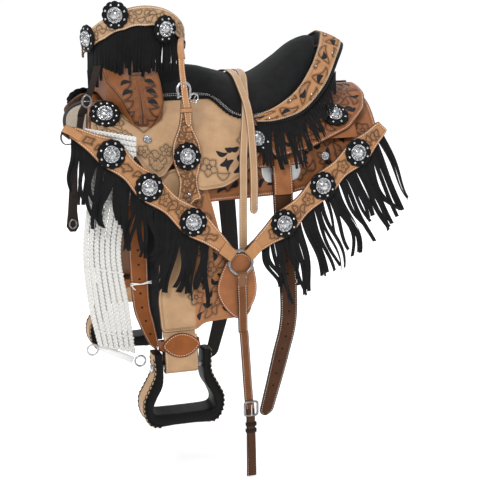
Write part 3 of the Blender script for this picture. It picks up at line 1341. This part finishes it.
# The frame's cross section: share of the way from the opening out, share of half the depth.
FRAME_SECTION = [(0.12, 1), (0.5, 1), (0.88, 1), (0.97, 0.9), (1, 0.7), (1, 0), (1, -0.7), (0.97, -0.9),
                 (0.88, -1), (0.5, -1), (0.12, -1), (0.03, -0.9), (0, -0.7), (0, 0), (0, 0.7), (0.03, 0.9)]


def build_stirrups():
    """Bell stirrups: a black body with a wide tread, laced tan facings and a bolt."""
    o = curve(FRAME_HALF + [(20, -612), (0, -612)], 3.0)
    i_line = share_of(np.linspace(0, 1, len(o)), curve(OPENING_HALF + [(20, -588), (0, -588)], 1.0))
    o, i_line = (np.vstack([half, half[-2::-1] * [-1, 1]]) for half in (o, i_line))
    deep = np.interp(o[:, 1], [-612, -560, -510, -462], [30, 29.5, 24, 20])

    def solid(line, depth):
        return np.stack([STRAP_X + line[:, 0], BOLT_Y - depth, line[:, 1]], 1)

    ring = np.stack([solid(i_line + (o - i_line) * radial, deep * depth)
                     for radial, depth in FRAME_SECTION], 1)
    faces = loft_faces(len(o), len(FRAME_SECTION))
    facing, lace = [], []
    run = run_of(o)
    out = unit(o - i_line)
    sides = np.where(np.abs(run - run[-1] / 2) > 46)[0]
    for part in (sides[sides < len(o) / 2], sides[sides > len(o) / 2]):
        cols = [solid(o[part] + out[part] * lift, deep[part] * depth) for depth, lift in
                ((0.86, -0.4), (0.84, 1.0), (0.5, 1.7), (-0.5, 1.7), (-0.84, 1.0), (-0.86, -0.4))]
        facing.append((np.stack(cols, 1).reshape(-1, 3), grid_faces(len(part), 6)))
        for u in np.arange(run[part[0]] + 4, run[part[-1]] - 4, 10.0):
            for sign in (1, -1):
                for lean in (-1, 1):
                    at = u + 3.6 * lean * np.array([-1, 0, 1])
                    lift = np.array([[1.9], [1.4], [-5.0]])
                    depth = np.interp(at, run, deep) * np.array([0.62, 0.9, 1.04])
                    ends = solid(read_at(at, run, o) + read_at(at, run, out) * lift, sign * depth)
                    lace.append(tube(ends, 1.1, 6))
    ends = [lathe((STRAP_X + x, BOLT_Y, BOLT_Z), (x, 0, 0), [(8.5, -1.5), (8.5, 1.0), (7, 3), (3, 4)], 20)
            for x in (-60.5, 60.5)]
    for side, flip in SIDES:
        rides = f"stirrup_{side}"
        put(f"stirrup_frame_{side}", rides, ring.reshape(-1, 3), faces, MATERIALS["black"],
            nodes=(f"stirrup_frame_{side}",), slot="black_leather", flip=flip)
        put_parts(f"stirrup_facing_{side}", rides, facing, MATERIALS["plain_tan"], slot="tan_leather",
                  flip=flip)
        put_parts(f"stirrup_lacing_{side}", rides, lace, MATERIALS["black"], slot="black_leather", flip=flip)
        put_parts(f"stirrup_bolt_ends_{side}", rides, ends, MATERIALS["silver"], slot="silver", flip=flip)


# ------------------------------------------------------------------ hanging straps and the cinch

LATIGO_Y = -198.74
BILLET_Y = -200.86


def build_straps():
    """The latigos, the near tie strap with its string, and the flank billets."""
    latigo = [on_arch(-288, z, HANGING_OFF)[0] for z in (-104, -130, -158)]
    latigo += [(-284, LATIGO_Y, -220), (-278, LATIGO_Y, -365), (-266, LATIGO_Y, -420), (-247, LATIGO_Y, -477)]
    billet = [on_arch(28, z, HANGING_OFF)[0] for z in (-124, -150, -172)]
    billet += [(32, BILLET_Y, -250), (43, BILLET_Y, -420), (24, BILLET_Y, -520), (-9, BILLET_Y, -648)]
    for side, flip in SIDES:
        name = f"latigo_{side}"
        strap(name, name, latigo, (-1, 0, 0), [41, 41, 41, 40, 36, 32, 18], 3.0, MATERIALS["oiled"], (name,),
              tips=("flat", "point"), stitch=(3.2,), holes=np.linspace(0.42, 0.9, 7), flip=flip)
        name = f"flank_billet_{side}"
        strap(name, name, billet, (-1, 0, 0), [44, 44, 44, 42, 38, 38, 30], 3.0, MATERIALS["dark_strap"],
              (name,), tips=("flat", "round"), stitch=(3.6,), holes=np.linspace(0.30, 0.872, 12), flip=flip)
    nylon = [(-246, -186, -182), (-246.5, -186, -300), (-247, -186, -400), (-246.5, -186, -459)]
    strap("tie_strap", "latigo_left", nylon, (-1, 0, 0), [37, 35, 34, 33], 2.6, MATERIALS["webbing"],
          ("tie_strap",), "black_leather")
    knot = []
    for x0, x1, z0, z1 in ((-300, -256, -330, -332), (-300, -256, -334, -328), (-298, -290, -334, -344)):
        t = np.linspace(0, 1, 14)
        knot.append(tube(np.stack([x0 + (x1 - x0) * t, -204.6 - 1.2 * np.sin(math.pi * t),
                                   z0 + (z1 - z0) * t + 0.8 * np.sin(9 * t)], 1), 1.1, 6))
    put_parts("latigo_tie", "latigo_left", knot, MATERIALS["thread"], slot="cotton")


def build_rigging():
    """The rigging plates under the skirts, and the covers and keepers of the flank billets."""
    front = [(-325, -63), (-325, -98), (-255, -98), (-255, -63)]
    rear = [(-14, -86), (-14, -128), (-6, -141), (12, -143), (24, -132), (34, -132), (46, -142), (64, -139),
            (72, -126), (72, -86)]
    patch = [(-24, -70), (-24, -112), (80, -108), (80, -70)]
    keeper = [on_arch(x, z, off)[0] for x, z, off in ((28, -96, 24.5), (28, -116, 24.8), (28, -142, 24.8),
                                                      (28, -166, 24.4))]
    place = arch_map(PLATE_OFF)
    rim = rounded(side_outline(front, PLATE_OFF), 8, 2.0)
    panel("front_rigging", "saddle", rim, place, 2.0, MATERIALS["plate"], ("rigging_plates",), "steel")
    panel("front_rigging_off", "saddle", rim, mirrored(place), 2.0, MATERIALS["plate"], slot="steel")
    panel("rear_rigging", "saddle", rounded(side_outline(rear, PLATE_OFF), 9, 2.0), place, 2.0,
          MATERIALS["plate"], slot="steel", pair=True)
    rim = rounded(side_outline(patch, PATCH_OFF), 8, 2.4)
    panel("rigging_cover", "saddle", rim, arch_map(PATCH_OFF), 2.4, MATERIALS["keeper"],
          slot="brown_leather", pair=True, stitch=(3.0,))
    for side, flip in SIDES:
        strap(f"rigging_keeper_{side}", "saddle", keeper, (-1, 0, 0), 42, 3.2, MATERIALS["keeper"],
              stitch=(3.4,), flip=flip)


def braids(left, right, cords, pitch, depth, thick):
    """Three-strand braids side by side between two edge lines, as tubes."""
    middle = (left + right) / 2
    length = run_of(middle)[-1]
    t = np.linspace(0, 1, int(length / pitch * 9))
    left, right = share_of(t, left), share_of(t, right)
    cell = np.linalg.norm(right - left, axis=1) / cords
    over = (right - left) / np.linalg.norm(right - left, axis=1)[:, None]
    parts = []
    for i in range(cords):
        line = left + (right - left) * (i + 0.5) / cords
        for k in range(3):
            phase = 2 * math.pi * (t * length / pitch + k / 3) + i
            at = line + over * (0.27 * cell * np.sin(phase))[:, None]
            y = depth - 0.45 * thick * np.sin(2 * phase)
            radius = np.minimum(cell * 0.235, thick * 0.85)
            parts.append(tube(np.stack([at[:, 0], y, at[:, 1]], 1), radius, 8))
    return parts


def build_cinch():
    """A woven cord cinch: plied cords between a folded top and a bar."""
    left = curve([(-383, -8), (-386, -60), (-383, -120), (-398, -250), (-390, -360), (-372, -450)], 3)
    right = curve([(-288, -32), (-290, -70), (-292, -120), (-320, -250), (-306, -370), (-294, -474)], 3)
    n = 150
    left, right = (share_of(np.linspace(0, 1, n), line) for line in (left, right))
    parts = braids(left, right, 7, 24.0, -212.8, 5.0)
    for w in (0.30, 0.62, 0.93):
        k = int(w * (n - 1))
        s = np.linspace(0, 1, 60)[:, None]
        line = np.hstack([left[k] + (right[k] - left[k]) * s, 0 * s])
        y = -213.4 - 3.6 * np.abs(np.cos(math.pi * 4 * s[:, 0]))
        parts.append(tube(np.stack([line[:, 0], y, line[:, 1]], 1), 1.8, 6))
    put_parts("cinch_strands", "cinch", parts, MATERIALS["cotton"], nodes=("cinch_strands",), slot="cotton")
    t = np.linspace(0, 1, 90)[:, None]
    upper = np.array([-388.0, -4.0]) + np.array([102.0, -22.0]) * t
    under = np.array([-384.0, -42.0]) + np.array([96.0, -26.0]) * t
    put_parts("cinch_fold", "cinch", braids(upper, under, 4, 22.0, -217.6, 4.4), MATERIALS["cotton"],
              slot="cotton")
    tilt = math.radians(-27)
    centre = np.array([-333, -212.5, -474])
    along = np.array([math.cos(tilt), 0, math.sin(tilt)])
    bar = curve([centre + along * d + [0, 4.4, 0] for d in (-39, -20, 0, 20, 39)], 3.0)
    up = np.array([-along[2], 0, along[0]])
    v, f, _, _ = strap_mesh(bar, np.tile(up, (len(bar), 1)), 13.5, 7.4, 0.6)
    put("cinch_bar", "cinch", v, f, MATERIALS["plastic"], nodes=("cinch_bar",), slot="white_plastic")


# ------------------------------------------------------------------ breast collar and tie-down

COLLAR_N = np.array([0.0508, -0.9929, 0.1075])
RING_AT = np.array([-78.0, -242.0, -293.0])
# The wings' centre lines from the ring out, with the half width, and where the rosettes sit.
LEFT_WING = [(-24, 23, 12), (-60, 58, 20), (-100, 91, 29), (-145, 129, 21), (-189, 167, 29), (-226, 202, 21),
             (-263, 237, 29), (-300, 262, 19), (-330, 280, 13), (-342, 285, 10)]
RIGHT_WING = [(24, 22, 12), (60, 48, 19), (97, 73, 28), (141, 108, 21), (186, 145, 28), (227, 178, 21),
              (268, 209, 28), (300, 236, 20), (322, 256, 16), (328, 262, 13)]
COLLAR_SPOTS = [(-263, 237), (-189, 167), (-100, 91), (97, 73), (186, 145), (268, 209)]


def clear_of(shapes, spots):
    """The shapes that no rosette covers."""
    return [shape for shape in shapes if min(np.hypot(*(shape.mean(0) - spot)) for spot in spots) > 26]


def ribbon_outline(stations):
    """The outline of a band from its centre line and half widths."""
    line = curve(stations, 3.0)
    along = tangents(line[:, :2])
    side = np.stack([-along[:, 1], along[:, 0]], 1) * line[:, 2:]
    return resample(np.vstack([line[:, :2] + side, (line[:, :2] - side)[::-1]]), 2.4, True)


def collar_map(off):
    """(u, v) on the collar's plane, measured from the ring's middle."""
    return plane_map(RING_AT + COLLAR_N * off, (1, 0, 0), COLLAR_N)


def collar_at(u, v, off):
    """One point on or off the collar's plane."""
    return points_on(collar_map(off), [(u, v, 0)])[0]


def collar_line(points):
    """(u, v, off) points on the collar as 3-D points."""
    return np.array([collar_at(*point) for point in points])


def build_collar():
    """Two tooled wings that meet at a ring, with rosettes, loops, a pad and a long fringe."""
    for name, outline, seed in (("collar_wing_left", LEFT_WING, 41), ("collar_wing_right", RIGHT_WING, 43)):
        shape = ribbon_outline(outline)
        raised, _ = foliage(shape, 7, 40, 19, seed, 0.0,
                            lambda p: (np.hypot(p[:, 0], p[:, 1]) > 62) & (np.abs(p[:, 0]) < 318))
        panel(name, "breast_collar", shape, collar_map(0.2), 4.4, MATERIALS["gold"], (name,),
              "tooled_leather", motifs=clear_of(raised, COLLAR_SPOTS), stitch=(3.2,), step=2.1)
    # Folded leather loops join the wings to the ring.
    for side in (-1, 1):
        ends = [collar_at(side * u, v, off) for u, v, off in
                ((40, 34, 5.0), (28, 24, 6.6), (20.5, 17.5, 8.2), (17, 14.6, 5.2), (18.5, 16, 0.5),
                 (26, 22, -2.4), (38, 32, -2.8))]
        across = collar_at(side * 30 - 10, 26 + side * 12, 5.0) - collar_at(side * 30, 26, 5.0)
        strap(f"collar_loop_{'left' if side < 0 else 'right'}", "breast_collar", ends, across, 27, 2.4,
              MATERIALS["strap"], spacing=2.0)
    ring = collar_line([(25 * math.cos(t), 25 * math.sin(t), 2.25) for t in turns(60)])
    v, f = tube(ring, 3.5, 14, True)
    put("collar_ring", "breast_collar", v, f, MATERIALS["nickel"], nodes=("collar_ring",), slot="silver")
    pad = curve([(-20, 12), (20, 12), (36, -46), (27, -88), (-6, -117), (-39, -88), (-50, -46)], 2.4, True)
    panel("ring_pad", "breast_collar", pad, collar_map(-6.4), 2.8, MATERIALS["keeper"], ("ring_pad",),
          "strap_leather", stitch=(3.4,))
    spots = [(collar_at(u, v, 4.8), COLLAR_N) for u, v in COLLAR_SPOTS]
    conchos("collar", "breast_collar", spots, 29.0, 3.8, 17.0, 7.8)
    fringe("collar_fringe_left", "breast_collar",
           [(-338, 270), (-300, 250), (-263, 222), (-226, 187), (-189, 150), (-145, 112), (-100, 74),
            (-66, 44)],
           [(-352, 128), (-326, 100), (-290, 76), (-240, 38), (-200, 0), (-160, -68), (-118, -86),
            (-78, -92)],
           collar_map(-3.7), 10.5, 42, 51, ("collar_fringe",), lift=2.2, waves=8.0, short=0.34, gather=0.35)
    fringe("collar_fringe_right", "breast_collar",
           [(50, 32), (97, 56), (141, 92), (186, 128), (227, 161), (268, 192), (300, 220), (330, 246)],
           [(70, -92), (120, -111), (175, -78), (230, -42), (330, 16), (400, 108)], collar_map(-3.7),
           11.0, 38, 58, lift=2.2, waves=9.0, short=0.30, gather=0.35)
    # The end of the left wing turns back through a narrow strap loop.
    loop = collar_line([(-322, 272, 4.6), (-340, 285, 5.6), (-352, 291, 3.0), (-352, 288, -2.0),
                        (-338, 276, -4.0)])
    across = collar_at(-310, 290, 0) - collar_at(-330, 262, 0)
    strap("collar_end_loop", "breast_collar", loop, across, 17, 2.0, MATERIALS["strap"], spacing=2.5)
    loop = collar_line([(-338, 262, -3.0), (-352, 262, -2.0), (-359, 272, 0.0), (-356, 284, 0.0),
                        (-344, 290, -3.0)])
    strap("collar_end_keeper", "breast_collar", loop, COLLAR_N, 9, 1.6, MATERIALS["black"],
          slot="black_leather", spacing=2.5)


def build_tie_down():
    """The strap below the ring, with its buckle, tongue and keepers."""
    upper = collar_line([(1.5, -22, 4.4), (1.5, -31, 3.4), (1.5, -44, 0.6), (1.5, -90, 0.2),
                         (0.5, -144, 0.2)])
    lower = [(-75.5, -257.4, -438), (-71, -257.6, -500), (-65.5, -257.8, -577), (-61, -257.8, -620),
             (-59.5, -257.8, -700), (-59.5, -257.8, -757)]
    path = np.vstack([upper, lower])
    strap("tie_down_strap", "tie_down", path, (-1, 0, 0), [21, 21, 21, 20.5, 20, 19.5, 19, 19, 19, 19, 19],
          2.8, MATERIALS["tether"], ("tie_down_strap",), stitch=(2.8,), holes=[0.70, 0.955])
    spare = [(-61.5, -261.0, -608), (-60.5, -261.4, -640), (-59.0, -262.6, -690), (-57.5, -262.0, -755)]
    strap("tie_down_billet", "tie_down", spare, (-1, 0, 0), 17, 2.0, MATERIALS["dark_strap"], spacing=3.0)
    loop = collar_line([(1.5, v, off) for v, off in (
        (-70, 1.2), (-50, 3.4), (-32, 6.4), (-25, 7.6), (-20.5, 5.2), (-20.5, 0.6), (-25, -2.0),
        (-40, -2.2))])
    strap("tie_down_loop", "tie_down", loop, (-1, 0, 0), 21, 2.0, MATERIALS["rein"], slot="tan_leather",
          stitch=(2.6,), spacing=2.2)
    for k, z in enumerate((-640, -654)):
        ring = [(-71.5, -257.2, z), (-71, -264.4, z), (-60, -265.4, z), (-49.5, -264.4, z), (-49, -257.2, z)]
        strap(f"tie_down_keeper_{k}", "tie_down", ring, (0, 0, 1), 8, 1.3, MATERIALS["dark_strap"],
              spacing=2.0)
    rim = rounded([(-75, -590), (-47, -590), (-47, -620), (-75, -620)], 6, 1.4)
    wire = tube(np.stack([rim[:, 0], np.full(len(rim), -263.2), rim[:, 1]], 1), 2.4, 10, True)
    put("tie_down_buckle", "tie_down", *wire, MATERIALS["nickel"], nodes=("tie_down_buckle",), slot="silver")


# ------------------------------------------------------------------ headstall

BROW_X = -236.0
BROW_R = 104.0
BROW_SPOTS = [(-72, 150), (-32, 201), (23, 171)]


def brow_map(radius, side):
    """(a, z) on a cylinder round the horn, a measured along it from the near or off middle."""

    def place(a, z, h):
        turn = a / radius
        r = radius + h
        return np.stack([BROW_X + r * np.sin(turn), side * r * np.cos(turn), z + 0 * a], -1)

    return place


def arc_height(radius, end, mid, a):
    """Height of a circular arc seen from the side, at a distance round the cylinder."""
    half = BROW_R + 5.0
    x = radius * np.sin(a / radius)
    rise = mid - end
    big = (half ** 2 + rise ** 2) / (2 * rise)
    return mid - big + np.sqrt(np.maximum(big ** 2 - x ** 2, 0))


def between(span, low, high, spacing):
    """The outline between two heights along a span."""
    return resample(np.vstack([np.stack([span, low], 1), np.stack([span, high], 1)[::-1]]), spacing, True)


def build_brow():
    """The browband with its scalloped lower edge and fringe, and the crown strap behind the horn."""
    span = np.linspace(-math.radians(88) * BROW_R, math.radians(88) * BROW_R, 90)
    scallops = 2.4 + 2.2 * np.abs(np.sin(span / 13.0))
    low = arc_height(BROW_R, 104, 176, span) + scallops
    rim = between(span, low, arc_height(BROW_R, 146, 220, span) - 0.5, 2.4)
    spots = [(math.radians(d) * BROW_R, z) for d, z in BROW_SPOTS]
    raised, _ = foliage(rim, 5, 40, 18, 61, 0.0)
    panel("browband", "headstall", rim, brow_map(BROW_R, -1), 4.0, MATERIALS["brow"], ("browband",),
          "tooled_leather", motifs=clear_of(raised, spots), stitch=(3.0,), step=2.1)
    rim = between(span, arc_height(BROW_R, 104, 132, span), arc_height(BROW_R, 126, 160, span), 2.6)
    panel("crown_strap", "headstall", rim, brow_map(BROW_R, 1), 4.0, MATERIALS["strap"], ("crown_strap",),
          "strap_leather", stitch=(3.4,))
    inner = BROW_R - 3.0
    edge = inner * np.linspace(-math.radians(82), math.radians(82), 60)
    x = BROW_X + inner * np.sin(edge / inner)
    start = arc_height(inner, 104, 176, edge) + 8
    stop = np.interp(x, [-342, -330, -316, -300, -285, BROW_X, -200, -160, -134],
                     [42, 44, 54, 68, 76, 72, 72, 74, 92])
    fringe("brow_fringe", "headstall", np.stack([edge, start], 1), np.stack([edge, stop], 1),
           brow_map(100.9, -1), 8.0, 84, 71, ("brow_fringe",), lift=1.6, waves=2.2, short=0.14, gather=0.1)


CHEEK_N = np.array([0, -math.sin(BEND), math.cos(BEND)])
cheek = plane_map((-178.0, -166.0, 122.0), (1, 0, 0), CHEEK_N)


def build_cheek():
    """The near cheek strap with its two buckles, billet, keeper and hanger."""
    outline = [(-5, -84), (5, -84), (8, -110), (14, -140), (27, -172), (30, -200), (25, -226), (19, -248),
               (22, -272), (25, -286), (12, -290), (0, -300), (-12, -290), (-25, -286), (-22, -272),
               (-19, -248),
               (-25, -226), (-30, -200), (-27, -172), (-14, -140), (-8, -110)]
    shape = curve(outline, 2.2, True)
    raised, _ = foliage(shape, 4.5, 30, 13, 81, 0.0)
    panel("cheek_strap_left", "headstall", shape, cheek, 3.5, MATERIALS["gold"], ("cheek_strap_left",),
          "tooled_leather", motifs=raised, stitch=(2.8,), step=1.9)
    metal_parts = []
    for u, v, lean, size in ((0, -66, 0.0, 1.15), (21, -84, -0.5, 0.7)):
        turn = np.linspace(-0.35, math.pi + 0.35, 22)
        bow = np.stack([11.5 * np.cos(turn), 12.5 * np.sin(turn)], 1)
        bow = np.vstack([[(10.5, -15)], bow, [(-10.5, -15)]]) * size
        c, n = math.cos(lean), math.sin(lean)
        spin = np.array([[c, n], [-n, c]])
        line = resample(bow @ spin + [u, v], 1.6)
        bow = cheek(line[:, 0], line[:, 1], np.full(len(line), 5.0 * size))
        metal_parts.append(tube(bow, 2.5 * size, 10))
        bar = np.array([(-10.5, -12), (10.5, -12)]) * size @ spin + [u, v]
        metal_parts.append(tube(cheek(bar[:, 0], bar[:, 1], np.full(2, 5.0)), 1.7 * size, 8))
        pin = np.array([(0, -12), (0, 13)]) * size @ spin + [u, v]
        metal_parts.append(tube(cheek(pin[:, 0], pin[:, 1], np.array([6.6, 8.6])), 1.4 * size, 8))
    p = points_on(cheek, [(0, -276, 3.6)])[0]
    metal_parts.append(ball(p, CHEEK_N, 3.6, 2.6))
    put_parts("cheek_buckles", "headstall", metal_parts, MATERIALS["silver"], nodes=("cheek_buckles",),
              slot="silver")
    tip = points_on(cheek, [(-1, -2, 2.0), (-1, -30, 3.0), (0, -58, 6.4), (1.5, -80, 6.2), (4, -104, 5.2),
                            (6.5, -142, 4.6)])
    strap("cheek_billet", "headstall", tip, (-1, 0, 0), [13, 13, 14, 15, 15, 14], 2.4, MATERIALS["strap"],
          tips=("flat", "point"), stitch=(2.2,), spacing=2.0)
    keep = points_on(cheek, [(16, -108, 2.5), (14, -108, 7.0), (4, -108, 8.6), (-6, -108, 7.0),
                             (-8, -108, 2.5)])
    strap("cheek_keeper", "headstall", keep, (0, math.cos(BEND), math.sin(BEND)), 9, 1.6, MATERIALS["strap"],
          spacing=2.0)
    path = [points_on(cheek, [(0, -6, 3.6)])[0], (-175, -152, 132), (-160, -100, 146), (-140, -50, 142),
            (-130, -18, 128)]
    across = np.array([(1, 0, 0), (1, 0, 0), (0.8, 0.3, -0.2), (0.4, 0.3, -0.7), (0, 0, -1)], float)
    knots = np.hstack([np.array(path, float), across, np.full((5, 1), 15.0)])
    line = curve(knots, 3.0)
    v, f, edge, _ = strap_mesh(line[:, :3], line[:, 3:6], line[:, 6], 2.4)
    put("cheek_hanger", "headstall", v, f, MATERIALS["strap"], plain_attrs(edge), slot="strap_leather")


def build_headstall_conchos():
    """Three rosettes on the browband and one on the near cheek strap."""
    centres = []
    for d, z in BROW_SPOTS:
        t = math.radians(d)
        facing = np.array([math.sin(t), -math.cos(t), 0])
        centres.append((np.array([BROW_X, 0, z]) + facing * (BROW_R + 4.3), facing))
    centres.append((points_on(cheek, [(0, -200, 3.9)])[0], CHEEK_N))
    conchos("headstall", "headstall", centres, 28.0, 3.8, 16.5, 7.8)


def build_far_cheek():
    """The far cheek strap, which hangs in front of the fork, with its buckle, keeper and end ring."""
    far = [(-345, 104), (-356, 66), (-371, 30), (-380, 14), (-384, -14), (-400, -107), (-407, -190),
                    (-411, -222), (-404, -233), (-392, -233), (-385, -222), (-388, -190), (-385, -107),
                    (-371, -14),
                    (-365, 14), (-357, 30), (-343, 66), (-331, 104)]
    place = plane_map((0, -118, 0), (1, 0, 0), (0, -1, 0))
    panel("cheek_strap_right", "headstall", resample(far, 2.4, True), place, 4.0,
          MATERIALS["far_cheek"], ("cheek_strap_right",), "strap_leather")
    keep = [(-382, -122, 8), (-380, -124.4, 9), (-372, -125.4, 11), (-364, -124.4, 13), (-362, -122, 14)]
    strap("far_cheek_keeper", "headstall", keep, (0.25, 0, 1), 9, 1.6, MATERIALS["dark_strap"], spacing=2.0)
    t = turns(34)
    ring = np.stack([-398 + 7 * np.cos(t), np.full(34, -123.2), -216 + 9 * np.sin(t)], 1)
    box = np.stack([-363 + 9 * np.cos(t), np.full(34, -123.6), 34 + 12 * np.sin(t)], 1)
    bar = np.array([(-374, -123.6, 34), (-352, -123.6, 34)], float)
    parts = [tube(ring, 1.8, 8, True), tube(box, 2.2, 8, True), tube(bar, 1.5, 8)]
    put_parts("far_cheek_buckle", "headstall", parts, MATERIALS["nickel"], slot="silver")


def build_reins():
    """Two reins laid over the seat, crossing on the near side."""
    half = [(-219, -130), (-208, -80), (-180, -20), (-146, 14), (-98, 41), (-50, 62)]
    over = half + [(0, 69)] + [(-y, z) for y, z in reversed(half)]
    for k, (x_low, x_top, x_far, low) in enumerate(((-64, -4, -10, -285), (-41, -26, -40, -200))):
        p = np.array([(-219, low), (-219, (low - 130) / 2)] + over + [(219, -149)], float)
        t = np.linspace(0, 1, len(p))
        x = np.interp(t, [0.0, 0.18, 0.5, 1.0], [x_low, x_low, x_top, x_far])
        # The second rein rises over the first where they cross.
        lift = k * 4.0 * np.exp(-((t - 0.37) / 0.12) ** 2)
        p = p + unit(p - [0.0, -60.0]) * (lift - 1.6)[:, None]
        path = np.stack([x, p[:, 0], p[:, 1]], 1)
        strap(f"rein_{k + 1}", "reins", path, (1, 0, 0), 17, 2.8, MATERIALS["rein"],
              ("reins",) if k == 0 else (), "tan_leather", ("round", "flat"), (2.6,), spacing=3.5)
    studs = [ball((-36.0, -225.2, z), (0, -1, 0), 2.6, 2.0) for z in (-180, -190)]
    put_parts("rein_studs", "reins", studs, MATERIALS["silver"], slot="silver")


# ------------------------------------------------------------------ carried-over CAD nodes

def dress_nodes():
    """Gives the CAD pieces that stay their materials."""
    looks = {"tree_bars": "plain_brown", "ground_seat": "black", "cantle_wood": "black",
             "stirrup_bolt_left": "steel", "stirrup_bolt_right": "steel", "cinch_rings": "steel",
             "tie_down_tongue": "silver"}
    for node, look in looks.items():
        obj = frame["nodes"][node]
        if not obj.material_slots:
            obj.data.materials.append(MATERIALS[look])
        for slot in obj.material_slots:
            slot.material = MATERIALS[look]


# ------------------------------------------------------------------ camera, lights and floor

# Name, place in metres, power in watts and size in metres.
LIGHTS = [("key", (-1.7, -2.6, 2.2), 70.0, 0.9), ("fill", (2.6, -1.8, 1.2), 18.0, 1.6),
          ("top", (0.2, 0.3, 2.8), 30.0, 1.8), ("back", (0.6, 2.8, 1.6), 22.0, 1.8)]
LIGHT_AIM = Vector((0.0, -0.05, -0.15))
CAMERA_AT = Vector((-0.92632, -2.85092, 0.43786))
CAMERA_AIM = Vector((-0.02681, -0.0825, -0.28791))


def build_stage():
    """A bright floor and background, four soft lights and the camera."""
    mat, tree, shader = node_tree("pale_floor")
    speck = noise(tree, 3.0, 3.0, 0.5)
    link(tree, mix_colour(tree, speck, (0.93, 0.93, 0.93), (0.96, 0.96, 0.96)), shader.inputs["Base Color"])
    shader.inputs["Roughness"].default_value = 0.75
    shader.inputs["Emission Color"].default_value = (1.0, 1.0, 1.0, 1.0)
    shader.inputs["Emission Strength"].default_value = 0.38
    low = cad_box[0][2]
    size = 60.0
    mesh = bpy.data.meshes.new("floor")
    mesh.from_pydata([(-size, -size, low), (size, -size, low), (size, size, low), (-size, size, low)], [],
                     [(0, 1, 2, 3)])
    mesh.materials.append(mat)
    floor = bpy.data.objects.new("floor", mesh)
    bpy.context.scene.collection.objects.link(floor)
    world = bpy.data.worlds.new("studio")
    world.use_nodes = True
    world.node_tree.nodes["Background"].inputs["Color"].default_value = (0.97, 0.98, 1.0, 1.0)
    world.node_tree.nodes["Background"].inputs["Strength"].default_value = 0.68
    bpy.context.scene.world = world
    bpy.context.scene.view_settings.view_transform = "Standard"
    for name, place, power, width in LIGHTS:
        light = bpy.data.lights.new(name, "AREA")
        light.energy = power
        light.size = width
        obj = bpy.data.objects.new(name, light)
        obj.location = place
        aim = LIGHT_AIM - Vector(place)
        obj.rotation_euler = aim.to_track_quat("-Z", "Y").to_euler()
        bpy.context.scene.collection.objects.link(obj)
    camera = bpy.data.cameras.new("camera")
    camera.lens = 104.17
    camera.sensor_width = 36.0
    camera.clip_end = 200.0
    obj = bpy.data.objects.new("camera", camera)
    obj.location = CAMERA_AT
    obj.rotation_euler = (CAMERA_AIM - CAMERA_AT).to_track_quat("-Z", "Y").to_euler()
    bpy.context.scene.collection.objects.link(obj)
    bpy.context.scene.camera = obj


build_stage()
build_skirts()
build_jockeys()
build_fork()
build_seat()
build_cantle()
build_saddle_conchos()
build_fenders()
build_stirrups()
build_straps()
build_rigging()
build_cinch()
build_collar()
build_tie_down()
build_brow()
build_cheek()
build_far_cheek()
build_headstall_conchos()
build_reins()
dress_nodes()
build_stitches(MATERIALS["thread"])
